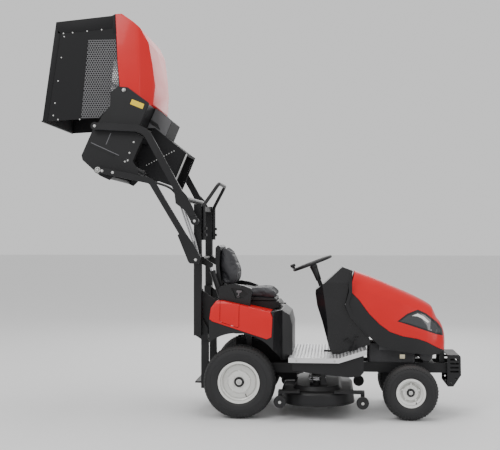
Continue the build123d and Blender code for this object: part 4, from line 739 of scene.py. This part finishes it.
FENDER_SIDE = [(-237, 560), (-237, 760), (-225, 870), (-185, 925), (-139, 925), (245, 842), (330, 850),
               (392, 807), (414, 721), (414, 400), (-237, 400)]
FENDER_FRONT = [(-484, 300), (-484, 780), (-462, 905), (-424, 940), (424, 940), (462, 905), (484, 780),
                (484, 300)]
FENDER_PLAN = [(-240, -484), (270, -484), (336, -330), (420, -290), (420, 290), (336, 330), (270, 484),
               (-240, 484)]
RED_EDGE = [(-300, 783), (-300, 1000), (245, 1000), (251, 838), (265, 800), (265, 773), (258, 646),
            (220, 630), (-211, 767), (-231, 783)]
ARCH_EDGE = [(-300, 779), (-233, 779), (-213, 763), (218, 626), (262, 643), (269, 773), (269, 802),
             (256, 842), (254, 1000), (430, 1000), (430, 484.5), (386, 484.5), (365, 449)]
HATCH_SEAM = [(-152, 990), (-152, 774), (-141, 759), (-10, 717), (3, 728), (3, 990), (0, 990), (0, 730),
              (-11, 721), (-139, 762), (-149, 775), (-149, 990)]
FENDER_BACKING = [(-230, 792), (-211, 780), (222, 646), (244, 660), (252, 795), (276, 795), (274, 642),
                  (222, 616), (-214, 753), (-233, 766)]
BONNET_BACKING = [(868, 1150), (896, 1140), (896, 990), (866, 900), (905, 800), (1040, 640), (1025, 622),
                  (878, 785), (838, 880), (868, 990)]
NOTCH = [(-600, -300), (-105, -300), (-105, 300), (-600, 300)]


def arch_edge():
    """Outline of the black mouldings, with the round wheel opening."""
    centre_x, centre_z, radius = -12.0, 310.0, 366.0
    start, end = 22.0, 128.0
    swept = [math.radians(start + (end - start) * i / 24) for i in range(25)]
    return ARCH_EDGE + [(centre_x + radius * math.cos(a), centre_z + radius * math.sin(a)) for a in swept]


def notch():
    """Block that clears the mast."""
    bm = bmesh.new()
    pulled(bm, [at(x, y, NOTCH_FLOOR) for x, y in NOTCH], (0, 0, NOTCH_HEIGHT))
    return keep(bm, "notch", None, None)


class MOWER_OT_body(bpy.types.Operator):
    """Fenders, wheel arches, cowl, consoles and guard"""
    bl_idname = "mower.body"
    bl_label = "Body mouldings"

    def execute(self, context):
        solid = block(FENDER_SIDE, FENDER_PLAN, FENDER_FRONT, sizes().panel_edge / MM)
        red = shell("fender_red", "root", gloss_red(), solid, 4)
        combined(red, "INTERSECT", cutter(RED_EDGE), tangled=True)
        combined(red, "DIFFERENCE", cutter(HATCH_SEAM), tangled=True)
        combined(red, "DIFFERENCE", notch(), tangled=True)
        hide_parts("fenders")
        solid = block(FENDER_SIDE, FENDER_PLAN, FENDER_FRONT, sizes().panel_edge / MM)
        arch = shell("wheel_arch_mouldings", "root", moulded_black(), solid, 5)
        combined(arch, "INTERSECT", cutter(arch_edge()), tangled=True)
        combined(arch, "DIFFERENCE", notch(), tangled=True)
        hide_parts("wheel_arches")
        seams, dark = bmesh.new(), bmesh.new()
        for hand in (-1, 1):
            slab(seams, FENDER_BACKING, hand * 474, hand * 478.5)
            slab(dark, BONNET_BACKING, hand * 238, hand * 245)
        keep(seams, "fender_backing", "root", moulded_black())
        keep(dark, "bonnet_seal", "root", moulded_black())
        softened("dash_cowl", 3.2 * MM, 3)
        softened("consoles", 4 * MM, 3)
        for node, width in (("front_guard", 2), ("seat_base", 2), ("seat_shell", 1.2),
                            ("floor_supports", 1)):
            softened(node, width * MM)
        bm = bmesh.new()
        slab(bm, [(1272, 462), (1312, 462), (1312, 494), (1272, 494)], -272, -258)
        rounded(bm, 0.002, 2)
        keep(bm, "connector_box", "root", cream())
        return {"FINISHED"}


# ---- floor ----
BAR_MIDDLE = 484.4                         # height of the middle of a raised bar
BARS_START, BARS_END = 400, 995
RAMP_START, RAMP_RISE, RAMP_RUN = 786, 70, 217
HOLE_START, HOLE_END, HOLE_HALF = 655, 855, 0.075


class MOWER_OT_floor(bpy.types.Operator):
    """Floor board with raised bars"""
    bl_idname = "mower.floor"
    bl_label = "Tread plate"

    def execute(self, context):
        softened("footboard", 1.2 * MM)
        pitch = sizes().stud_pitch
        low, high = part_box("footboard")
        bm = bmesh.new()
        count_x = int((high.x - low.x) / pitch)
        count_y = int((high.y - low.y) / pitch)
        for i in range(count_x):
            for j in range(count_y):
                x = low.x + (i + 0.5) * pitch
                y = low.y + (j + 0.5) * pitch
                x_mm = (x - AXLE_X) / MM
                in_hole = HOLE_START < x_mm < HOLE_END and abs(y) < HOLE_HALF
                if in_hole or x_mm < BARS_START or x_mm > BARS_END:
                    continue
                rise = max(0.0, x_mm - RAMP_START) * RAMP_RISE / RAMP_RUN
                tilt = -math.atan(RAMP_RISE / RAMP_RUN) if rise else 0.0
                turn = EIGHTH * (1 if (i + j) % 2 else -1)
                place = Matrix.Translation((x, y, (BAR_MIDDLE + rise) * MM)) @ Matrix.Rotation(tilt, 4, "Y")
                place = place @ Matrix.Rotation(turn, 4, "Z") @ Matrix.Diagonal((1, 0.3, 1, 1))
                bmesh.ops.create_cone(bm, cap_ends=True, segments=8, radius1=11 * MM, radius2=8.5 * MM,
                                      depth=2.2 * MM, matrix=place)
        keep(bm, "floor_bars", "root", bright_plate())
        return {"FINISHED"}


# ---- seat ----
PAD_VOXEL, PAD_PRESSURE = 0.006, 4


def puffed(piece, cap, frames=20):
    """Swells a closed form like a stuffed cover, by cloth under pressure."""
    remesh = piece.modifiers.new("even", "REMESH")
    remesh.mode = "VOXEL"
    remesh.voxel_size = PAD_VOXEL
    bake(piece)
    rest = [v.co.copy() for v in piece.data.vertices]
    cloth = piece.modifiers.new("cover", "CLOTH")
    cloth.settings.use_pressure = True
    cloth.settings.uniform_pressure_force = PAD_PRESSURE
    cloth.settings.effector_weights.gravity = 0
    cloth.point_cache.frame_start = 1
    cloth.point_cache.frame_end = frames
    for number in range(1, frames + 1):
        bpy.context.scene.frame_set(number)
    bake(piece)
    for v, was in zip(piece.data.vertices, rest):
        move = v.co - was
        if move.length > cap:
            v.co = was + move.normalized() * cap
    bpy.context.scene.frame_set(1)
    return piece


def pad_form(name, side, half, round_by=22):
    """Closed pad with a side view outline and rounded ends."""
    bm = bmesh.new()
    slab(bm, side, -half, half)
    rounded(bm, round_by * MM, 4, above=25)
    bmesh.ops.triangulate(bm, faces=[f for f in bm.faces if len(f.verts) > 4])
    return keep(bm, name, "seat", seat_vinyl(), crease=80)


CHANNEL_REACH = 0.07       # how far above and below a line its channel is pressed in


def channels(piece, lines, depth, width):
    """Presses sewn channels into a pad; each line has its two ends and the way that the pad faces."""
    for v in piece.data.vertices:
        for start, end, normal in lines:
            a, b, n = Vector(start), Vector(end), Vector(normal)
            along = (b - a).normalized()
            share = (v.co - a).dot(along)
            if -0.01 < share < (b - a).length + 0.01:
                across = (v.co - a) - along * share
                side = across - n * across.dot(n)
                if abs(across.dot(n)) < CHANNEL_REACH:
                    v.co -= n * depth * math.exp(-(side.length / width) ** 2)
    piece.data.update()


CUSHION_SIDE = [(-100, 955), (-96, 992), (-40, 1002), (60, 990), (180, 996), (262, 992), (288, 972),
                (286, 950), (264, 942)]
BACK_SIDE = [(-172, 1338), (-150, 1352), (-134, 1338), (-62, 1168), (-44, 1122), (-50, 1078), (-72, 1044),
             (-146, 1040), (-158, 1060), (-178, 1200)]
CUSHION_HALF, BACK_HALF = 214, 182
CUSHION_UP, BACK_OUT = (0.04, 0, 1), (0.93, 0, 0.36)       # the ways that the pads face


class MOWER_OT_seat(bpy.types.Operator):
    """Stuffed seat cushion and backrest with sewn channels"""
    bl_idname = "mower.seat"
    bl_label = "Seat"

    def execute(self, context):
        swell = sizes().pad_swell
        cushion = puffed(pad_form("cushion", CUSHION_SIDE, CUSHION_HALF), swell)
        lines = [(at(-90, y, 1006), at(270, y, 1006), CUSHION_UP) for y in (-130, 130)]
        lines += [(at(x, -130, 1000), at(x, 130, 1000), CUSHION_UP) for x in (-10, 80, 170)]
        channels(cushion, lines, 0.007, 0.008)
        back = puffed(pad_form("backrest", BACK_SIDE, BACK_HALF), swell)
        lines = [(at(-60, y, 1070), at(-120, y, 1330), BACK_OUT) for y in (-105, 105)]
        lines += [(at(-85, -105, z), at(-85, 105, z), BACK_OUT) for z in (1130, 1210, 1290)]
        channels(back, lines, 0.008, 0.009)
        for piece, node in ((cushion, "seat_cushion"), (back, "seat_back")):
            smooth = piece.modifiers.new("smooth", "SUBSURF")
            smooth.levels = smooth.render_levels = 1
            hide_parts(node)
        return {"FINISHED"}


# ---- collector ----
WALL_Y = 430.0
TIP_AXIS, TIP_HOLE = (-934.5, 0, 2617.5), 0.0135     # the axle that the container tips on
SHEET = 0.0014                             # thickness of the perforated sheet
RIVET_OUT = 0.0012                         # how far a wall rivet's middle stands off the wall
OUTLINE_REACH = 26                         # how far past the sheet's outline holes are still made
COVER_SIDE = [(-1009, 3236), (-957, 3239), (-857, 3168), (-806, 3122), (-749, 3014), (-722, 2841),
              (-703, 2670), (-716, 2512), (-800, 2470), (-1009, 2470)]
COVER_PLAN = [(-1100, -430), (-812, -430), (-716, -334), (-700, -300), (-700, 300), (-716, 334),
              (-812, 430), (-1100, 430)]
COVER_EDGE = [(-1008, 3260), (-640, 3260), (-640, 2440), (-716, 2440), (-964, 2560), (-969, 2637),
              (-988, 2843)]
STRUT = 14                                 # width of a strut behind the window
STRUTS = [(-1236, 3010, -1012, 2948), (-1236, 2912, -1012, 2948), (-1228, 2936, -1012, 2860)]
WINDOW = [(-1236, 3036), (-1000, 3036), (-985, 2843), (-970, 2637), (-1040, 2485), (-1142, 2393),
          (-1295, 2393)]


def perforated(name, outline, y, body, material):
    """Sheet with round holes on a staggered grid, trimmed to a convex outline."""
    pitch, hole = sizes().hole_pitch, sizes().hole
    corner = pitch / math.sqrt(3)
    xs, zs = [p[0] for p in outline], [p[1] for p in outline]
    sides = list(zip(outline, outline[1:] + outline[:1]))
    bm = bmesh.new()
    rows = int((max(zs) - min(zs)) * MM / (corner * 1.5)) + 2
    columns = int((max(xs) - min(xs)) * MM / pitch) + 2
    centre = Vector((sum(xs) / len(xs), sum(zs) / len(zs)))
    for row in range(rows):
        for column in range(columns):
            x = min(xs) * MM + AXLE_X + (column + 0.5 * (row % 2)) * pitch
            z = min(zs) * MM + row * corner * 1.5
            x_mm, z_mm = (x - AXLE_X) / MM, z / MM
            inside = all((b[0] - a[0]) * (z_mm - a[1]) - (b[1] - a[1]) * (x_mm - a[0])
                         < OUTLINE_REACH * math.dist(a, b) for a, b in sides)
            if not inside:
                continue
            spot = Vector((x, y * MM, z))
            made = bmesh.ops.create_circle(bm, cap_ends=True, segments=12, radius=corner,
                                           matrix=Matrix.Translation(spot) @ Matrix.Rotation(QUARTER, 4, "X"))
            ring = made["verts"]
            for v in ring:
                angle = math.atan2(v.co.z - z, v.co.x - x)
                if round((angle - QUARTER) / (math.pi / 6)) % 2:
                    v.co = spot + (v.co - spot) * math.cos(math.pi / 6)
            face = ring[0].link_faces[0]
            bmesh.ops.inset_region(bm, faces=[face], thickness=corner * 0.2, use_boundary=True,
                                   use_even_offset=False)
            for v in face.verts:
                v.co = spot + (v.co - spot).normalized() * hole
            bm.faces.remove(face)
    bmesh.ops.remove_doubles(bm, verts=bm.verts[:], dist=0.0002)
    for a, b in sides:
        start, end = at(a[0], y, a[1]), at(b[0], y, b[1])
        normal = (end - start).cross(Vector((0, 1, 0))).normalized()
        if (at(centre.x, y, centre.y) - start).dot(normal) > 0:
            normal.negate()
        bmesh.ops.bisect_plane(bm, geom=bm.verts[:] + bm.edges[:] + bm.faces[:], dist=0.00001, plane_co=start,
                               plane_no=normal, clear_outer=True)
    bmesh.ops.recalc_face_normals(bm, faces=bm.faces[:])
    return thickened(keep(bm, name, body, material), SHEET)


class MOWER_OT_container(bpy.types.Operator):
    """Collector box, its cover, perforated sides, ribs and rivets"""
    bl_idname = "mower.container"
    bl_label = "Container"

    def execute(self, context):
        softened("container_walls", 1.4 * MM)
        solid = block(COVER_SIDE, COVER_PLAN, None, sizes().panel_edge / MM)
        cover = shell("cover_red", "container", gloss_red(), solid, 3)
        combined(cover, "INTERSECT", cutter(COVER_EDGE))
        bm = bmesh.new()
        bmesh.ops.create_cone(bm, cap_ends=True, segments=40, radius1=TIP_HOLE, radius2=TIP_HOLE, depth=1.4,
                              matrix=Matrix.Translation(at(*TIP_AXIS)) @ Matrix.Rotation(QUARTER, 4, "X"))
        combined(cover, "DIFFERENCE", keep(bm, "pivot_hole", None, None))
        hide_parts("container_cover")
        # The perforated sides carry painted light: their grey is lightened for the light seen through the
        # holes.
        right = perforated("mesh_right", WINDOW, -WALL_Y + 2, "container", perforated_grey_and_painted_light())
        perforated("mesh_left", WINDOW, WALL_Y - 2, "container", perforated_grey_and_painted_light())
        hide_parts("side_meshes")
        spots, seams = [], bmesh.new()
        for hand in (-1, 1):
            y = hand * (WALL_Y + 0.3)
            spots += [at(x, y, 3096 + (x + 1300) * 0.075) for x in (-1436, -1360, -1240, -1120)]
            spots += [at(-1538 + (z - 2500) * 0.139 + 30, y, z) for z in (2420, 2520, 2700, 2890, 3060)]
            spots += [at(x, y, 2386) for x in (-1480, -1300)]
            inner, outer = hand * WALL_Y, hand * (WALL_Y + 2.4)
            slab(seams, [(-1480, 3086), (-1036, 3119), (-1030, 3216), (-1494, 3174)], inner, outer)
            slab(seams, [(-1606, 2376), (-1566, 2376), (-1462, 3090), (-1498, 3130)], inner, outer)
            slab(seams, [(-1034, 3222), (-1012, 3232), (-1000, 3080), (-1022, 3080)], inner,
                 hand * (WALL_Y + 4))
        rounded(seams, 0.0008, 2)
        keep(seams, "corner_strips", "container", sheet_black())
        proud = [p + Vector((0, math.copysign(RIVET_OUT, p.y), 0)) for p in spots]
        rivets("wall_rivets", "container", proud, 0.0062)
        struts = bmesh.new()
        for x1, z1, x2, z2 in STRUTS:
            slab(struts, [(x1, z1), (x1, z1 + STRUT), (x2, z2 + STRUT), (x2, z2)], -418, -404)
        keep(struts, "window_struts", "container", sheet_black())
        rim = [at(-1612, y, 2374) for y in (-428, -200, 0, 200, 428)]
        line("mouth_bead", rim, 0.007, "container", moulded_black())
        return {"FINISHED"}


CHEEK_Y = 438.0


class MOWER_OT_carrier(bpy.types.Operator):
    """Carrier plates, duct, grille, bead with a painted highlight and marking patch"""
    bl_idname = "mower.carrier"
    bl_label = "Carrier"

    def execute(self, context):
        softened("carrier_frame", 1.2 * MM)
        softened("duct", 1.2 * MM)
        # Raised beads along the cheek's fold lines, partly real relief and partly painted highlight: their
        # console grey stands for light catching the folds of the black plate.
        bm = bmesh.new()
        for hand in (-1, 1):
            y = hand * CHEEK_Y
            slab(bm, [(-1206, 2193), (-1202, 2199), (-972, 2093), (-975, 2087)], y, y + hand * 3)
            slab(bm, [(-1046, 2270), (-1038, 2270), (-1076, 2180), (-1084, 2180)], y, y + hand * 1.2)
        rounded(bm, 0.001, 2)
        keep(bm, "cheek_beads_painted_highlight", "carrier", console_grey())
        bm = bmesh.new()
        slab(bm, [(-868, 2543), (-768, 2502), (-782, 2462), (-884, 2504)], -CHEEK_Y - 0.7, -CHEEK_Y)
        keep(bm, "marking_patch", "carrier", marking_yellow())
        bm = bmesh.new()
        for hand in (-1, 1):
            slab(bm, [(-721, 2500), (-588, 2390), (-640, 2268), (-727, 2338), (-792, 2338)], hand * 196,
                 hand * 196.4)
        keep(bm, "vent_panels", "carrier", vent_grey())
        bm = bmesh.new()
        for hand in (-1, 1):
            for row in range(9):
                x, z = -787 + row * 9.5, 2424 - row * 6.5
                slot = [(x, z), (x + 5, z + 2), (x + 27, z - 52), (x + 22, z - 54)]
                slab(bm, slot, hand * 196.2, hand * 197.6)
        rounded(bm, 0.0006, 1)
        keep(bm, "vent_slots", "carrier", moulded_black())
        spots = [at(x, -CHEEK_Y, z) for x, z in ((-854, 2196), (-888, 2110), (-902, 2050), (-925, 2040))]
        bolts("carrier_bolts", "carrier", spots, 0.006)
        spots = [at(x, -CHEEK_Y, z) for x, z in ((-1064, 1964), (-1006, 1948))]
        bolts("cheek_bolts", "carrier", spots, 0.006)
        bm = bmesh.new()
        for hand in (-1, 1):
            slab(bm, [(-464, 2122), (-453, 2117), (-565, 1851), (-576, 1856)], hand * 210.4, hand * 211.6)
        keep(bm, "flange_strips", "carrier", zinc())
        seam = [at(-800 + i * 21.0, hand * 196, 2030 + i * 10.5) for i in range(12) for hand in (-1, 1)]
        rivets("duct_seam", "carrier", seam, 0.005)
        bolts("tip_pivot_bolts", "container", [at(TIP_AXIS[0], -CHEEK_Y - 2, TIP_AXIS[2])], 0.012)
        return {"FINISHED"}


# ---- mast and arms ----
class MOWER_OT_mast(bpy.types.Operator):
    """Mast, lifting arms and rams with their pins"""
    bl_idname = "mower.mast"
    bl_label = "Mast and arms"

    def execute(self, context):
        for node in ("mast", "upper_arms", "lower_arm"):
            softened(node, 3 * MM)
        softened("lift_barrels", 0.8 * MM)
        for hand, word in ((-1, "right"), (1, "left")):
            turn = -hand * QUARTER
            bolts("upper_pins_" + word, "upper_arms", [at(-1158, hand * 504, 2322)], 0.009, turn)
            bolts("mast_pins_" + word, "root", [at(-349, hand * 511, 1560)], 0.009, turn)
        bolts("lower_pins", "lower_arm", [at(-1132, -504, 1971), at(-341, -504, 1253), at(-1096, -504, 1962),
                                          at(-1010, -504, 1948)], 0.009)
        ring = [at(-1132 + 20 * math.cos(TURN * i / 12), -506, 1971 + 20 * math.sin(TURN * i / 12))
                for i in range(12)]
        line("lower_ring", ring, 0.003, "lower_arm", rim_paint(), cyclic=True)
        return {"FINISHED"}


MAST_HOSE = [(-467, -452, 1679), (-442, -450, 1600), (-404, -440, 1490), (-372, -428, 1390),
             (-352, -420, 1302.3)]
ARM_HOSE = [(-473.4, -456, 1720), (-500, -452, 1770), (-545, -444, 1822), (-612, -436, 1852),
            (-690, -424, 1872), (-764, -414, 1922)]
GUARD_TURNS, POINTS_A_TURN, GUARD_RADIUS = 62, 8, 0.0068   # the wire wound round the hoses at the mast


class MOWER_OT_hoses(bpy.types.Operator):
    """Hydraulic hoses from the mast to the arm and the carrier"""
    bl_idname = "mower.hoses"
    bl_label = "Hoses"

    def execute(self, context):
        for shift, word in ((0, "a"), (20, "b")):
            route = [at(x + shift, y, z) for x, y, z in MAST_HOSE]
            hose = line("mast_hose_" + word, route, 0.0065, None, guard_grey(), mesh=True)
            wound = []
            steps = GUARD_TURNS * POINTS_A_TURN
            for i in range(steps + 1):
                share = i / steps
                place = spread(route, share)
                behind, beyond = spread(route, max(0, share - 0.01)), spread(route, min(1, share + 0.01))
                ahead = (beyond - behind).normalized()
                side = ahead.cross(Vector((0, 1, 0))).normalized()
                other = ahead.cross(side)
                angle = TURN * i / POINTS_A_TURN
                wound.append(place + (side * math.cos(angle) + other * math.sin(angle)) * GUARD_RADIUS)
            guard = line("hose_guard_" + word, wound, 0.0016, None, guard_grey(), mesh=True)
            for piece in (hose, guard):
                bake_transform(piece)
        arm = line("arm_hose", [at(*p) for p in ARM_HOSE], 0.0095, None, moulded_black(), mesh=True)
        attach(arm, "upper_arms")
        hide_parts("hoses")
        return {"FINISHED"}


# ---- controls ----
WHEEL_HUB, WHEEL_LEAN = (570, 0, 1214), 21       # middle and backward lean, in degrees, of the steering wheel


class MOWER_OT_controls(bpy.types.Operator):
    """Steering wheel grip, boss and levers"""
    bl_idname = "mower.controls"
    bl_label = "Controls"

    def execute(self, context):
        softened("steering_wheel", 2.5 * MM)
        softened("steering_column", 1.5 * MM)
        bm = bmesh.new()
        place = Matrix.Translation(at(*WHEEL_HUB)) @ Matrix.Rotation(-math.radians(WHEEL_LEAN), 4, "Y")
        for start, end, wide, narrow in ((-44, -20, 30, 34), (-150, -46, 22, 29)):
            bmesh.ops.create_cone(bm, cap_ends=True, segments=40, radius1=wide * MM, radius2=narrow * MM,
                                  depth=(end - start) * MM,
                                  matrix=place @ Matrix.Translation((0, 0, (start + end) / 2 * MM)))
        rounded(bm, 0.002, 2, above=40)
        keep(bm, "column_boot", "root", moulded_black())
        for node, width in (("spinner_knob", 1.5), ("collector_lever", 2), ("height_lever", 2)):
            softened(node, width * MM)
        return {"FINISHED"}


class MOWER_OT_deck(bpy.types.Operator):
    """Mowing deck and gauge wheels"""
    bl_idname = "mower.deck"
    bl_label = "Mowing deck"

    def execute(self, context):
        softened("deck_shell", 1.2 * MM)
        softened("deck_frame", 1.2 * MM)
        bolts("gauge_bolts_right", "deck", [at(x, -573, 153) for x in (328, 968)], 0.009)
        bolts("gauge_bolts_left", "deck", [at(x, 573, 153) for x in (328, 968)], 0.009, -QUARTER)
        bolts("floor_bolts", "root", [at(x, -472.2, 461) for x in (454, 752)], 0.0065)
        return {"FINISHED"}


class MOWER_PT_pieces(bpy.types.Panel):
    """Operators and settings of the mower"""
    bl_idname = "MOWER_PT_pieces"
    bl_label = "Ride-on mower"
    bl_space_type = "VIEW_3D"
    bl_region_type = "UI"
    bl_category = "Mower"

    def draw(self, context):
        column = self.layout.column(align=True)
        for maker in MAKERS:
            column.operator(maker.bl_idname)
        for group in (context.scene.mower_sizes, context.scene.mower_colours):
            box = self.layout.box()
            for name in group.__annotations__:
                box.prop(group, name)


MAKERS = (MOWER_OT_stage, MOWER_OT_hoses, MOWER_OT_finishes, MOWER_OT_wheels, MOWER_OT_bonnet,
          MOWER_OT_body, MOWER_OT_floor, MOWER_OT_seat, MOWER_OT_container, MOWER_OT_carrier, MOWER_OT_mast,
          MOWER_OT_controls, MOWER_OT_deck)
GROUPS = (MowerSizes, MowerColours)


def register():
    for made in GROUPS + MAKERS + (MOWER_PT_pieces,):
        bpy.utils.register_class(made)
    bpy.types.Scene.mower_sizes = PointerProperty(type=MowerSizes)
    bpy.types.Scene.mower_colours = PointerProperty(type=MowerColours)


def unregister():
    del bpy.types.Scene.mower_colours
    del bpy.types.Scene.mower_sizes
    for made in reversed(GROUPS + MAKERS + (MOWER_PT_pieces,)):
        bpy.utils.unregister_class(made)


def main():
    """Builds every piece."""
    register()
    for maker in MAKERS:
        group, action = maker.bl_idname.split(".")
        getattr(getattr(bpy.ops, group), action)()


if __name__ == "__main__":
    main()
